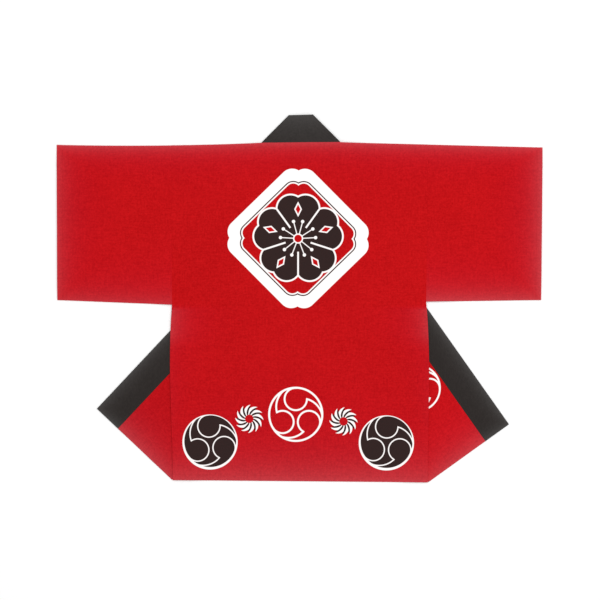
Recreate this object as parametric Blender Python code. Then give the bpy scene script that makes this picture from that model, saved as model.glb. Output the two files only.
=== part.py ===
"""Happi coat laid flat with its back upwards and both fronts turned outwards at the hem.

The cloth is built from its cut. Each front is drawn as it would lie under the back, and a fold
map turns the part of it beyond a slanting crease under the rest, so that its outside shows again
beside the coat. The collar band is one strip from hem to hem: it follows each front's edge
through the same crease and turns over at 45 degrees beside the neck. What lies on another layer
is raised by height functions that are shared by every piece, and sinks to the floor beyond it.

Metres, +Z up, the hem towards -Y. Origin at the bottom centre of the laid coat.
"""

from collections import namedtuple

import bpy
import numpy as np

# --- Cloth -------------------------------------------------------------------------------------
CLOTH = 0.0010          # wall of the plain cotton
BAND = 0.0024           # wall of the collar band, which is folded cloth
GAP = 0.0003            # space between two pieces at a seam, and between two layers
BAND_GAP = 0.0006       # space between the band and the edge that it is sewn to
BAND_WIDTH = 0.0737     # collar band, from its seam to its free edge, along the fronts
NAPE_SHARE = 0.943      # round the neck the band is narrower by this share

# --- Cut of the body ----------------------------------------------------------------------------
BODY_HALF = 0.3245      # half width of the body at the shoulder
SIDE_BULGE = 0.0058     # the side seams bulge outwards this far
HEM_Y = -0.4618         # hem at the centre line
HEM_TILT = -0.0088      # fall of the hem across the coat, per metre towards +X
FRONT_DROP = 0.0020     # the shoulder seam lies this far below the fold, on the front's side

# --- How the fronts are turned ------------------------------------------------------------------
CREASE_START = 0.0030   # height of the crease's lower end above the hem, on the side seam
EDGE_TURN_Y = -0.0810   # the front edge is straight below this and leans to the neck above it
BEND_FROM = 0.45        # distance along a crease at which it starts to bend
BEND_TO = 0.85          # distance along a crease at which its bend is complete

# One row a side. Distances called "out" are measured from the centre line outwards.
Side = namedtuple(
    "Side",
    "name sign neck_out neck_y shoulder_dip shoulder_rise cuff_top cuff_foot"
    " underarm_out underarm_y cuff_foot_y hem_half hem_rise edge_out crease_angle crease_bend",
)
SIDES = (
    Side("left", -1, 0.0956, 0.3928, 0.0217, 0.0167, 0.6135, 0.6120,
         0.3221, -0.0161, -0.0044, 0.3205, 0.0040, 0.1330, np.radians(68.4), 0.0),
    Side("right", 1, 0.1018, 0.3941, 0.0129, 0.0000, 0.6135, 0.6098,
         0.3192, -0.0083, -0.0044, 0.3237, 0.0088, 0.1471, np.radians(72.4), 0.008),
)
LEFT, RIGHT = SIDES

# --- How layers rest on each other --------------------------------------------------------------
FRONT_REACH = 0.022     # a front stays raised this far past the edge of what it lies on
BACK_REACH = 0.036      # the back, which bridges more, stays raised further
RAMP = 0.062            # then it sinks over this distance
TUCK = 0.028            # cloth rises over this distance to the middle of the band's thickness
CUFF_PUFF = 0.0015      # the upper layer of a sleeve stands off the lower one at the cuff

# --- Fineness of the grids ----------------------------------------------------------------------
ROLL_STEPS = 8          # steps round a folded edge
BACK_COLUMNS = (10, 9, 10)   # steps from side to neck, across the neck, and from neck to side
BACK_ROWS = (18, 16)         # steps from the hem to the underarm and from there to the top
FRONT_COLUMNS = 9
FLAP_ROWS = 12
FRONT_ROWS = 17
SLEEVE_ROWS = 11
SLEEVE_STATIONS = 9
BAND_COLUMNS = 4
BAND_FLAP_ROWS = 16
BAND_BODY_ROWS = 9
NAPE_ROWS = 5

RED = (0.53, 0.008, 0.014, 1.0)
BLACK = (0.028, 0.024, 0.024, 1.0)


def ease(value, start, end):
    """0 up to start, 1 from end, and a smooth S between them."""
    t = np.clip((value - start) / (end - start), 0.0, 1.0)
    return t * t * (3.0 - 2.0 * t)


def mix(first, second, share):
    """The value a share of the way from first to second."""
    return first + (second - first) * share


# --- Lines of the cut ---------------------------------------------------------------------------


def hem_y(side, out):
    """Hem line of a front: from the back's at the side seam it rises to the front edge."""
    return HEM_Y + HEM_TILT * side.sign * side.hem_half + side.hem_rise * (side.hem_half - out)


def shoulder_y(side, out):
    """Top of shoulder and sleeve: a shallow parabola from the neck to the cuff."""
    t = (out - side.neck_out) / (side.cuff_top - side.neck_out)
    return side.neck_y - side.shoulder_dip * t + side.shoulder_rise * t * t


def side_out(side, y):
    """Side seam, bulging outwards two thirds of the way up to the underarm, and straight armhole."""
    t = (y - HEM_Y) / (side.underarm_y - HEM_Y)
    low = np.clip(t, 0.0, 1.0)
    seam = mix(side.hem_half, side.underarm_out, low) + SIDE_BULGE * 6.75 * low**2 * (1.0 - low)
    up = (y - side.underarm_y) / (shoulder_y(side, BODY_HALF) - side.underarm_y)
    return np.where(t < 1.0, seam, mix(side.underarm_out, BODY_HALF, up))


def underarm_y(side, out):
    """Lower edge of the sleeve: straight from the side seam to the cuff."""
    share = (out - side.underarm_out) / (side.cuff_foot - side.underarm_out)
    return mix(side.underarm_y, side.cuff_foot_y, share)


def underarm_line(x):
    """A line across the back from one underarm to the other."""
    return np.interp(x, (-BODY_HALF, BODY_HALF), (LEFT.underarm_y, RIGHT.underarm_y))


def neckline_y(x):
    """Back neckline: straight from one neck point to the other."""
    share = (x + LEFT.neck_out) / (LEFT.neck_out + RIGHT.neck_out)
    return mix(LEFT.neck_y, RIGHT.neck_y, share)


def edge_out(side, y):
    """Front edge, where the band is sewn on: upright near the hem, easing over to the neck."""
    return mix(side.edge_out, side.neck_out, ease(y, EDGE_TURN_Y, side.neck_y))


def band_width(side, y):
    """Width of the band at a height of the cut: it narrows from the front edge to the neck."""
    return BAND_WIDTH * mix(1.0, NAPE_SHARE, ease(y, EDGE_TURN_Y, side.neck_y))


# --- Creases ------------------------------------------------------------------------------------


def crease_frame(side):
    """Lower end of the crease, its direction, and its normal towards the part turned under."""
    foot_y = hem_y(side, side.hem_half) + CREASE_START
    start = (side_out(side, foot_y), foot_y)
    along = (-np.cos(side.crease_angle), np.sin(side.crease_angle))
    normal = (-np.sin(side.crease_angle), -np.cos(side.crease_angle))
    return start, along, normal


def crease_place(side, out, y):
    """Distance past the straight crease line, and the crease's own bend at that height."""
    start, along, normal = crease_frame(side)
    d_out, d_y = out - start[0], y - start[1]
    past = d_out * normal[0] + d_y * normal[1]
    bend = side.crease_bend * ease(d_out * along[0] + d_y * along[1], BEND_FROM, BEND_TO)
    return past, bend


def mirrored(side, out, y):
    """A point turned over the crease. The same rule takes cut to coat and coat to cut."""
    _, _, normal = crease_frame(side)
    past, bend = crease_place(side, out, y)
    return out + 2.0 * (bend - past) * normal[0], y + 2.0 * (bend - past) * normal[1]


# --- Heights ------------------------------------------------------------------------------------


def flap_edges(side, out, y):
    """Signed distances to the turned-under front and to the band on it, negative inside."""
    past, bend = crease_place(side, out, y)
    cut_out, cut_y = mirrored(side, out, y)
    below_hem = hem_y(side, cut_out) - cut_y
    seam = edge_out(side, cut_y)
    width = band_width(side, cut_y)
    front = np.maximum(np.maximum(past - bend, below_hem), seam - width - cut_out)
    across = np.abs(cut_out - seam + width / 2) - width / 2
    band = np.maximum(np.maximum(past - bend, below_hem), across)
    return front, band


def body_edges(side, out, y):
    """Signed distances to the front left under the back and to the band on it."""
    past, bend = crease_place(side, out, y)
    seam = edge_out(side, y)
    width = band_width(side, y)
    front = np.maximum(past - bend, seam - width - out)
    across = np.abs(out - seam + width / 2) - width / 2
    return front, np.maximum(past - bend, across)


def raised(edges, reach):
    """Lift over cloth and band: a layer and its gap, fading beyond the edges."""
    front, band = edges
    over_cloth = (CLOTH + GAP) * (1.0 - ease(front, reach, reach + RAMP))
    return over_cloth + (BAND - CLOTH) * (1.0 - ease(band, reach, reach + RAMP))


def front_floor(x, y):
    """Underside of the fronts and of the sleeves' lower layer: over what is turned under."""
    lifts = [raised(flap_edges(side, side.sign * x, y), FRONT_REACH) for side in SIDES]
    return np.maximum(*lifts)


def back_floor(x, y):
    """Underside of the back and of the sleeves' upper layer: over all that lies below it."""
    lifts = [raised(flap_edges(side, side.sign * x, y), BACK_REACH)
             + raised(body_edges(side, side.sign * x, y), FRONT_REACH) for side in SIDES]
    return np.maximum(*lifts)


# --- Fold maps ----------------------------------------------------------------------------------


def rolled(past, radius):
    """Half round of a folded edge: where a point lies across it, and how far down it is."""
    inside = np.clip(past, -radius, radius)
    return np.sqrt(radius * radius - inside * inside) - radius, radius + inside


def turned(side, out, y, lift):
    """Coat position of points of the cut. Lift is the wall's middle above its own underside.

    Before the crease a point stays; across it, it runs round a half circle; past it, it is
    mirrored over the crease and lies on the floor.
    """
    _, _, normal = crease_frame(side)
    straight, bend = crease_place(side, out, y)
    past = straight - bend
    foot_out, foot_y = out - past * normal[0], y - past * normal[1]
    radius = front_floor(side.sign * foot_out, foot_y) / 2.0
    across, drop = rolled(past, radius)
    mirror_out, mirror_y = mirrored(side, out, y)
    before, after = past < -radius, past > radius
    new_out = np.where(before, out, np.where(after, mirror_out, foot_out + across * normal[0]))
    new_y = np.where(before, y, np.where(after, mirror_y, foot_y + across * normal[1]))
    height = np.where(before, front_floor(side.sign * out, y), np.where(after, 0.0, 2 * radius - drop))
    return np.stack([side.sign * new_out, new_y, height + lift], axis=-1)


def beyond_crease(side, place, y):
    """Distance past the bent crease of each thread line at a height."""
    past, bend = crease_place(side, place(y), y)
    return past - bend


def crease_height(side, place, low, high):
    """Height at which each thread line meets the crease, by halving the range."""
    for _ in range(40):
        middle = (low + high) / 2.0
        beyond = beyond_crease(side, place, middle) > 0.0
        low = np.where(beyond, middle, low)
        high = np.where(beyond, high, middle)
    return (low + high) / 2.0


def rows_through_crease(side, place, bottom, top, low_rows, high_rows):
    """Heights of the rows of a panel: even up to the crease, close round it, even above it."""
    crease = crease_height(side, place, bottom, top)
    radius = front_floor(side.sign * place(crease), crease) / 2.0
    fall = (beyond_crease(side, place, crease - radius)
            - beyond_crease(side, place, crease + radius)) / (2.0 * radius)
    rise = radius / fall
    low = mix(bottom, crease - rise, np.linspace(0.0, 1.0, low_rows + 1)[:-1, None])
    turn = crease - rise * np.cos(np.linspace(0.0, np.pi, ROLL_STEPS + 1))[:, None]
    high = mix(crease + rise, top, np.linspace(0.0, 1.0, high_rows + 1)[1:, None])
    return np.concatenate([low, turn, high])


# --- Pieces: each returns the points half way through its wall, as rows and columns --------------


def meeting_underarm(side, share, y):
    """Rows of a front, the nearest one moved to the underarm at the side seam."""
    row = np.argmin(np.abs(y[:, 0] - side.underarm_y))
    y[row] += (side.underarm_y - y[row, 0]) * (1.0 - share)
    return y


def back_points():
    """The back: columns from side seam to side seam, rows from the hem to shoulder and neck."""
    left, neck, right = BACK_COLUMNS
    x = np.concatenate([
        np.linspace(-BODY_HALF, -LEFT.neck_out, left + 1)[:-1],
        np.linspace(-LEFT.neck_out, RIGHT.neck_out, neck + 1)[:-1],
        np.linspace(RIGHT.neck_out, BODY_HALF, right + 1),
    ])
    top = np.where(x < -LEFT.neck_out, shoulder_y(LEFT, -x),
                   np.where(x > RIGHT.neck_out, shoulder_y(RIGHT, x), neckline_y(x)))
    low, high = (np.linspace(0.0, 1.0, rows + 1)[:, None] for rows in BACK_ROWS)
    middle = underarm_line(x)
    y = np.concatenate([mix(HEM_Y + HEM_TILT * x, middle, low[:-1]), mix(middle, top, high)])
    x = x * np.where(x < 0.0, side_out(LEFT, y), side_out(RIGHT, y)) / BODY_HALF
    past_neck = np.maximum(-x - LEFT.neck_out, x - RIGHT.neck_out)
    to_band = np.hypot(np.maximum(past_neck, 0.0), neckline_y(x) - y)
    tuck = (BAND - CLOTH) / 2.0 * (1.0 - ease(to_band, 0.0, TUCK))
    return np.stack([x, y, back_floor(x, y) + CLOTH / 2.0 + tuck], axis=-1)


def front_points(side):
    """A front: columns from its side seam to its front edge, rows from hem to shoulder."""
    share = np.linspace(0.0, 1.0, FRONT_COLUMNS + 1)

    def place(y):
        return mix(side_out(side, y), edge_out(side, y), share)

    bottom = hem_y(side, place(HEM_Y))
    top = shoulder_y(side, place(side.neck_y)) - FRONT_DROP
    y = rows_through_crease(side, place, bottom, top, FLAP_ROWS, FRONT_ROWS)
    y = meeting_underarm(side, share, y)
    out = place(y)
    tuck = (BAND - CLOTH) / 2.0 * (1.0 - ease(out - edge_out(side, y), 0.0, TUCK))
    return turned(side, out, y, CLOTH / 2.0 + tuck)


def sleeve_points(side):
    """A sleeve: a flat tube, its stations from armhole to cuff and its points round the tube."""
    station = np.linspace(0.0, 1.0, SLEEVE_STATIONS + 1)[:, None]
    middle = (side.cuff_top + side.cuff_foot) / 2.0
    top = shoulder_y(side, mix(BODY_HALF + GAP, middle, station)) - CLOTH / 2.0
    foot = underarm_y(side, mix(side.underarm_out + GAP, middle, station)) + CLOTH / 2.0
    share = np.linspace(0.0, 1.0, SLEEVE_ROWS + 1)
    angle = np.linspace(0.0, np.pi, ROLL_STEPS + 1)[1:-1]
    level = mix(foot, top, share)
    cuff = mix(side.cuff_foot, side.cuff_top, share)
    armhole = mix(side.underarm_out, BODY_HALF, share)
    flat_out = mix(armhole + GAP, cuff, station)
    x = side.sign * flat_out
    lower = front_floor(x, level) + CLOTH / 2.0
    puff = CUFF_PUFF * ease(station, 0.4, 1.0) * np.sin(np.pi * share) ** 2
    upper = back_floor(x, level) + CLOTH / 2.0 + puff
    radius = (upper - lower) / 2.0
    level = mix(foot + radius[:, :1], top - radius[:, -1:], share)
    layers = []
    for high, heights in ((True, upper), (False, lower)):
        end = -1 if high else 0
        y_flat = level if high else level[:, ::-1]
        z_flat = heights if high else heights[:, ::-1]
        x_flat = x if high else x[:, ::-1]
        turn = radius[:, end:][:, :1]
        sense = 1.0 if high else -1.0
        y_turn = y_flat[:, -1:] + sense * turn * np.sin(angle)
        z_turn = z_flat[:, -1:] - sense * turn * (1.0 - np.cos(angle))
        x_turn = np.repeat(x_flat[:, -1:], len(angle), axis=1)
        layers.append(np.stack([np.hstack([x_flat, x_turn]), np.hstack([y_flat, y_turn]),
                                np.hstack([z_flat, z_turn])], axis=-1))
    return np.concatenate(layers, axis=1)


def nape_turn(side, width, beyond):
    """The band round its 45 degree fold beside the neck, a distance beyond the fold line."""
    root = np.sqrt(0.5)
    width = width * NAPE_SHARE
    low = front_floor(side.sign * (side.neck_out - width), side.neck_y + width)
    high = back_floor(side.sign * (side.neck_out - width), side.neck_y + width)
    radius = (high - low) / 2.0
    past = beyond * radius
    out, y = side.neck_out - width, side.neck_y + width + past / root
    across, drop = rolled(past, radius)
    foot_out, foot_y = out - past * root, y - past * root
    x = side.sign * (foot_out + across * root)
    return np.stack([x, foot_y + across * root, low + drop + BAND / 2.0], axis=-1)


def band_leg(side):
    """One end of the band: from the hem through the crease and round the fold at the neck."""
    width = np.linspace(BAND_GAP, BAND_WIDTH, BAND_COLUMNS + 1)

    def place(y):
        return edge_out(side, y) - width * band_width(side, y) / BAND_WIDTH

    clear = 2.0 * BAND
    bottom = hem_y(side, place(HEM_Y))
    top = side.neck_y + width * NAPE_SHARE - clear
    y = rows_through_crease(side, place, bottom, top, BAND_FLAP_ROWS, BAND_BODY_ROWS)
    leg = turned(side, place(y), y, BAND / 2.0)
    beyond = -np.cos(np.linspace(0.0, np.pi, ROLL_STEPS + 1))[:, None]
    return np.concatenate([leg, nape_turn(side, width, beyond)])


def collar_points():
    """The collar band from the left hem, round the back of the neck, to the right hem."""
    left, right = band_leg(LEFT), band_leg(RIGHT)
    share = np.linspace(0.0, 1.0, NAPE_ROWS + 1)[1:-1, None]
    x = mix(left[-1, :, 0], right[-1, :, 0], share)
    y = mix(left[-1, :, 1], right[-1, :, 1], share)
    nape = np.stack([x, y, back_floor(x, y) + BAND / 2.0], axis=-1)
    return np.concatenate([left, nape, right[::-1]])


# --- Solids -------------------------------------------------------------------------------------


def normals_of(points, ring):
    """Unit normals: the cross product of the central differences along rows and columns."""
    down = np.gradient(points, axis=0)
    if ring:
        across = np.roll(points, -1, axis=1) - np.roll(points, 1, axis=1)
    else:
        across = np.gradient(points, axis=1)
    normal = np.cross(across, down)
    return normal / np.linalg.norm(normal, axis=-1, keepdims=True)


def wall(name, points, thickness, colour, ring=False):
    """A closed wall of one thickness on both sides of a grid; a ring's columns meet again."""
    rows, columns = points.shape[:2]
    offset = normals_of(points, ring) * thickness / 2.0
    corners = np.concatenate([(points + offset).reshape(-1, 3), (points - offset).reshape(-1, 3)])
    front = np.arange(rows * columns).reshape(rows, columns)
    back = front + rows * columns
    if ring:
        front = np.hstack([front, front[:, :1]])
        back = np.hstack([back, back[:, :1]])

    def quads(first, second):
        """Quads between two lines of corners."""
        return np.stack([first[:-1], first[1:], second[1:], second[:-1]], axis=-1).reshape(-1, 4)

    faces = []
    for i in range(rows - 1):
        faces.append(quads(front[i], front[i + 1]))
        faces.append(quads(back[i + 1], back[i]))
    faces.append(quads(back[0], front[0]))
    faces.append(quads(front[-1], back[-1]))
    if not ring:
        faces.append(quads(front[:, 0], back[:, 0]))
        faces.append(quads(back[:, -1], front[:, -1]))
    quad = np.concatenate(faces)
    a, b, c, d = (corners[quad[:, i]] for i in range(4))
    volume = np.einsum("ij,ij->", a, np.cross(b, c)) + np.einsum("ij,ij->", a, np.cross(c, d))
    if volume < 0.0:
        quad = quad[:, ::-1]
    mesh = bpy.data.meshes.new(name)
    mesh.from_pydata(corners.tolist(), [], quad.tolist())
    mesh.update()
    piece = bpy.data.objects.new(name, mesh)
    bpy.context.scene.collection.objects.link(piece)
    material = bpy.data.materials.new(name + "_cloth")
    material.use_nodes = True
    shader = material.node_tree.nodes["Principled BSDF"]
    shader.inputs["Base Color"].default_value = colour
    shader.inputs["Roughness"].default_value = 0.9
    material.diffuse_color = colour
    mesh.materials.append(material)
    return piece


def clear_scene():
    """Removes whatever the scene holds."""
    for thing in list(bpy.data.objects):
        bpy.data.objects.remove(thing, do_unlink=True)


def main():
    clear_scene()
    wall("back", back_points(), CLOTH, RED)
    for side in SIDES:
        wall("front_" + side.name, front_points(side), CLOTH, RED)
        wall("sleeve_" + side.name, sleeve_points(side), CLOTH, RED, ring=True)
    wall("collar", collar_points(), BAND, BLACK)


if __name__ == "__main__":
    main()
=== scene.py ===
from collections import namedtuple

import bpy
import numpy as np
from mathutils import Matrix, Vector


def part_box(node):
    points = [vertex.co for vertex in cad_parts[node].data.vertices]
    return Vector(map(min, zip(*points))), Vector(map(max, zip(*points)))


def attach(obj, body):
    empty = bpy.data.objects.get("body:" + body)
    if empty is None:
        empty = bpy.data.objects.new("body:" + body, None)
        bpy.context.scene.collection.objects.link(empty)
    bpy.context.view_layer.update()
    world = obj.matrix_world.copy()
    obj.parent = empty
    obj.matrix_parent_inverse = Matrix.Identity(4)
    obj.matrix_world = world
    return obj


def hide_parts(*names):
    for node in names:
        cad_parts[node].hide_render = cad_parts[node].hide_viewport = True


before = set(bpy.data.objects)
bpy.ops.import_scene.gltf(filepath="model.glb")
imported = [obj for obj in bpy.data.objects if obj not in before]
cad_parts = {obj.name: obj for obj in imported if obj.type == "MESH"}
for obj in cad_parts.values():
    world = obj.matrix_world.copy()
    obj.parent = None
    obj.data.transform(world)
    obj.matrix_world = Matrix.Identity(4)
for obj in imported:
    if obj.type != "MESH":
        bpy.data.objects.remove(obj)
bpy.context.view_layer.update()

bl_info = {
    "name": "Happi coat, laid flat",
    "version": (1, 0, 0),
    "blender": (4, 5, 0),
    "location": "View3D > Sidebar > Happi Coat",
    "description": "Printed cotton festival coat laid on its fronts, with hems, stitches and weave",
    "category": "Add Mesh",
}

# --- Sizes of the cut, in metres -----------------------------------------------------------------
# Distances called "out" are measured from the centre line outwards. The coat lies with its hem
# towards -Y. LAYER, BAND and GAP are the walls and spaces that the frame's own pieces keep.
LAYER = 0.0010           # one layer of cloth, as the layers are stacked
BAND = 0.0024            # the collar band, which is folded cloth
GAP = 0.0003             # space between two layers
BAND_GAP = 0.0002        # space between the band and the edge that it is sewn to
SEWN_IN = 0.0006         # the cloth runs this far into the band
BAND_WIDTH = 0.0737      # collar band, from its seam to its free edge, along the fronts
NAPE_SHARE = 0.943       # round the neck the band is narrower by this share
BODY_HALF = 0.3245       # half width of the body at the shoulder
SIDE_BULGE = 0.0058      # the side seams bulge outwards this far
BULGE_SCALE = 6.75       # brings the bulge's own formula to 1 at its top
LAP = 0.0003             # the rounded edges of back and sleeve run this far into each other
HEM_Y = -0.4618          # hem at the centre line
HEM_TILT = -0.0088       # fall of the hem across the coat, per metre towards +X
FRONT_DROP = 0.0020      # the shoulder seam lies this far below the fold, on the front's side
CREASE_START = 0.0030    # height of each crease's lower end above the hem, on the side seam
EDGE_TURN_Y = -0.0810    # the front edge is straight below this and leans to the neck above it
BEND_FROM = 0.45         # distance along a crease at which it starts to bend
BEND_TO = 0.85           # distance along a crease at which its bend is complete
HALVINGS = 40            # of the range in which a thread line's crossing of the crease is sought

# One half of the cut: its neck point, the two terms of its shoulder's parabola, how far out the
# cuff's two corners are and how high the lower one is, the underarm, how far out the hem's corner
# and the foot of the front edge are, how much the front's hem climbs per metre inwards, and its
# crease: the angle, and how far its upper end bends aside.
Side = namedtuple(
    "Side",
    "name sign neck_out neck_y shoulder_dip shoulder_rise cuff_top cuff_foot"
    " underarm_out underarm_y cuff_foot_y hem_half hem_rise edge_out crease_angle crease_bend",
)
LEFT = Side(
    name="left", sign=-1, neck_out=0.0956, neck_y=0.3928, shoulder_dip=0.0217, shoulder_rise=0.0167,
    cuff_top=-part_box("sleeve_left")[0].x, cuff_foot=0.6120, cuff_foot_y=-0.0044,
    underarm_out=0.3221, underarm_y=-0.0161, hem_half=0.3205, hem_rise=0.0040, edge_out=0.1330,
    crease_angle=np.radians(68.4), crease_bend=0.0)
RIGHT = Side(
    name="right", sign=1, neck_out=0.1018, neck_y=0.3941, shoulder_dip=0.0129, shoulder_rise=0.0,
    cuff_top=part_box("sleeve_right")[1].x, cuff_foot=0.6098, cuff_foot_y=-0.0044,
    underarm_out=0.3192, underarm_y=-0.0083, hem_half=0.3237, hem_rise=0.0088, edge_out=0.1471,
    crease_angle=np.radians(72.4), crease_bend=0.008)
SIDES = (LEFT, RIGHT)

# --- How layers rest on each other ---------------------------------------------------------------
FRONT_REACH = 0.022      # a front stays raised this far past the edge of what it lies on
BACK_REACH = 0.036       # the back, which bridges more, stays raised further
RAMP = 0.062             # then it sinks over this distance
TUCK = 0.028             # cloth rises over this distance to the middle of the band's thickness
SEW_FADE = 0.045         # a sewn edge holds the upper layer down over this distance
SEAM_SINK = 0.00035      # the upper layer sinks this far towards the lower one at a sewn edge
SEAM_CLOSE = 0.008       # and does so over this distance
AIR = 0.0005             # slack of the upper layers between the sewn edges
CUFF_AIR = 0.0016        # the same at the open end of a sleeve
CUFF_FROM, CUFF_TO = 0.40, 0.60     # the slack grows between these distances from the middle

# Soft folds: a ridge, or with a negative height a trough, from one point to another.
Fold = namedtuple("Fold", "x y to_x to_y width height")
UPPER_FOLDS = (
    Fold(-0.318, -0.004, -0.168, 0.118, 0.017, 0.0016),
    Fold(-0.306, -0.046, -0.196, -0.012, 0.012, 0.0010),
    Fold(-0.372, 0.012, -0.286, 0.146, 0.014, 0.0011),
    Fold(-0.613, 0.296, -0.402, 0.318, 0.024, 0.0013),
    Fold(-0.616, 0.168, -0.474, 0.121, 0.019, 0.0015),
    Fold(-0.610, 0.062, -0.452, 0.046, 0.015, 0.0009),
    Fold(-0.556, 0.236, -0.388, 0.206, 0.027, -0.0005),
    Fold(0.318, 0.002, 0.196, 0.142, 0.018, 0.0015),
    Fold(0.304, -0.058, 0.214, -0.004, 0.012, 0.0008),
    Fold(0.384, 0.018, 0.300, 0.118, 0.013, 0.0012),
    Fold(0.614, 0.332, 0.431, 0.298, 0.021, 0.0012),
    Fold(0.615, 0.214, 0.492, 0.228, 0.022, 0.0016),
    Fold(0.612, 0.096, 0.424, 0.070, 0.018, 0.0011),
    Fold(0.540, 0.156, 0.396, 0.176, 0.026, -0.0005),
    Fold(-0.196, -0.468, -0.158, -0.246, 0.026, 0.0012),
    Fold(-0.052, -0.470, -0.070, -0.196, 0.032, 0.0010),
    Fold(0.074, -0.472, 0.052, -0.318, 0.021, 0.0013),
    Fold(0.182, -0.474, 0.214, -0.208, 0.029, 0.0011),
    Fold(0.288, -0.452, 0.262, -0.140, 0.019, -0.0004),
    Fold(-0.262, 0.372, -0.118, 0.266, 0.026, 0.0008),
    Fold(0.276, 0.376, 0.150, 0.288, 0.024, 0.0007),
)
GROUND_FOLDS = (
    Fold(-0.432, -0.246, -0.338, -0.330, 0.014, 0.0009),
    Fold(-0.472, -0.152, -0.372, -0.118, 0.018, 0.0006),
    Fold(-0.404, -0.432, -0.330, -0.366, 0.013, 0.0007),
    Fold(0.446, -0.256, 0.352, -0.296, 0.015, 0.0008),
    Fold(0.402, -0.420, 0.336, -0.352, 0.013, 0.0007),
    Fold(0.480, -0.150, 0.400, -0.104, 0.017, 0.0006),
    Fold(-0.610, 0.326, -0.470, 0.338, 0.017, 0.0006),
    Fold(0.612, 0.040, 0.470, 0.058, 0.018, 0.0006),
)

# --- Hems, seams and print -----------------------------------------------------------------------
HEM_ROWS = (0.002, 0.005, 0.009)    # the grid's rows between a hem's rim and its stitches
HEM_STEP = 0.0008        # width over which a turned hem thins to one layer
HEM_PROUD = 0.00012      # the outside stands this far out over a turned hem
SECOND_LAYER = 0.45      # thickness that a turned hem adds, as a share of the cloth
GROOVE = 0.00018         # the stitches pull the cloth in this deep
GROOVE_WIDTH = 0.0011    # and over this width
BAND_SEAM = 0.0026       # the band's stitches run this far from its seam
BAND_ROW = 0.004         # the band's first row after the rim of its end
SEW_ROWS = np.array([-0.0004, 0.0, 0.0004])     # three rows of points carry a line of stitches
SEW_MARGIN = 0.002       # the back's stitches end this far from its corners
SEW_FROM, SEW_TO = 0.01, 0.995      # a front's stitches run between these shares of its width
BACK_POINTS, FRONT_POINTS = 400, 260    # points along the lines of these stitches
RUB_REACH = 0.0035       # worn edges fade over this distance
# Painted sheen: the colour pales towards white along the coat's outline, and a bluish haze tints it
# there.
SHEEN_REACH = 0.022      # a painted pale sheen fades over this distance from the coat's outline
TOP_SHEEN = 1.5          # that distance counts this many times along the shoulders,
HEM_SHEEN = 0.55         # this many times along the back's hem,
FRONT_SHEEN = 0.80       # this many times along the fronts' hems
NAPE_SHEEN = 0.50        # and this many times round the neck
LEFT_DIM = 0.010         # this much is added to it on the left sleeve, whose painted sheen is fainter,
COVERED = 0.060          # and this much beside a covered seam
OPEN_SHARE = 0.86        # less this share of it where a side is the coat's outline
ARMHOLE_TIMES = 4.0      # and more by this many times along the armhole
OPEN_SIDE = (-0.150, -0.085, -0.030, 0.000)     # heights between which a side is outline: it
                                                # fades in over the first two and out over the last
HAZE_REACH = 0.060       # a faint bluish haze, painted sheen in the red, fades over this distance
RIM_STEPS = 3            # steps round each half of a cut or folded edge
RIM_ANGLE = np.linspace(0.0, np.pi / 2, RIM_STEPS + 1)
ROLL_STEPS = 14          # steps round a turned front or a folded sleeve
CREASE_ROOM = 0.9        # the rows near a hem take up this share of the way to the crease at most
MAP_MARGIN = 0.004       # empty border of the bake map
MAP_OUTSIDE = 0.79       # the width that the cloth's outside takes on it
MAP_INSIDE_AT, MAP_INSIDE = 0.81, 0.186     # where its inside starts, and the inside's width

STITCH_RINGS, STITCH_SIDES = 5, 6   # a stitch's rings of points, and the points in each
STITCH_SHARE = 0.82                 # its length, as a share of the pitch
STITCH_BLUNT = 0.04                 # the square of its end rings' share of the thickness
STITCH_PROUD, STITCH_DIP = 0.05, 0.75   # its middle's lift and its ends' dip, in thicknesses
STITCH_TIP = 0.3                    # its tips stand this many thicknesses ahead of the end rings

DIAMOND_AT = (-0.0040, 0.1511)      # middle of the framed device between the shoulders
LOBE_RADIUS = 0.0309                # radius of the two circles at each corner of the frame
LOBE_NEAR, LOBE_FAR = 0.0161, 0.1469    # how far off the axis and out along it they stand
FRAME_TALL = 0.989                  # the frame's height, as a share of its width
FRAME_TURN = np.radians(-0.5)       # its turn from upright
FRAME_INNER = 0.825                 # inner edge of the white frame, as a share of the outer one
FRAME_BLACK = 0.0030                # thin black line inside the white frame
FRAME_WHITE = 0.0036                # thin white line inside the black one

PETALS = 5
BLOSSOM_RADIUS = 0.1109             # reach of the blossom that fills the frame
PETAL_LINE = 0.0043                 # its white lines; most other measures are shares of its reach
PETAL_ASIDE, PETAL_OUT, PETAL_ROUND = 0.17, 0.68, 0.30  # a petal's circle: its place and radius
PETAL_FOOT = 0.60                   # nearer than this along its axis all is petal
PARTING_FROM = 0.30                 # the lines between the petals start here
LEAF_OUT, LEAF_HALF = 0.665, 0.175  # middle and half length of the red leaf in a petal
LEAF_SLOPE = 2.0                    # it is this many times as long as wide
LEAF_SCALE = 2.24                   # makes a distance of its slanting measure
EYE_RADIUS = 0.115                  # the eye in the blossom's middle
STAMEN_ANGLE = np.radians(15.0)     # between a petal's axis and each of its two stamens
STAMEN_HALF, STAMEN_END = 0.0012, 0.385     # a stamen's half width in metres, and its reach
ANTHER_RADIUS, ANTHER_OUT = 0.0042, 0.40    # the dot's radius in metres, and its place
RED_INSET = 0.75                    # the red of leaf and eye is smaller by this many line widths

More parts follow.
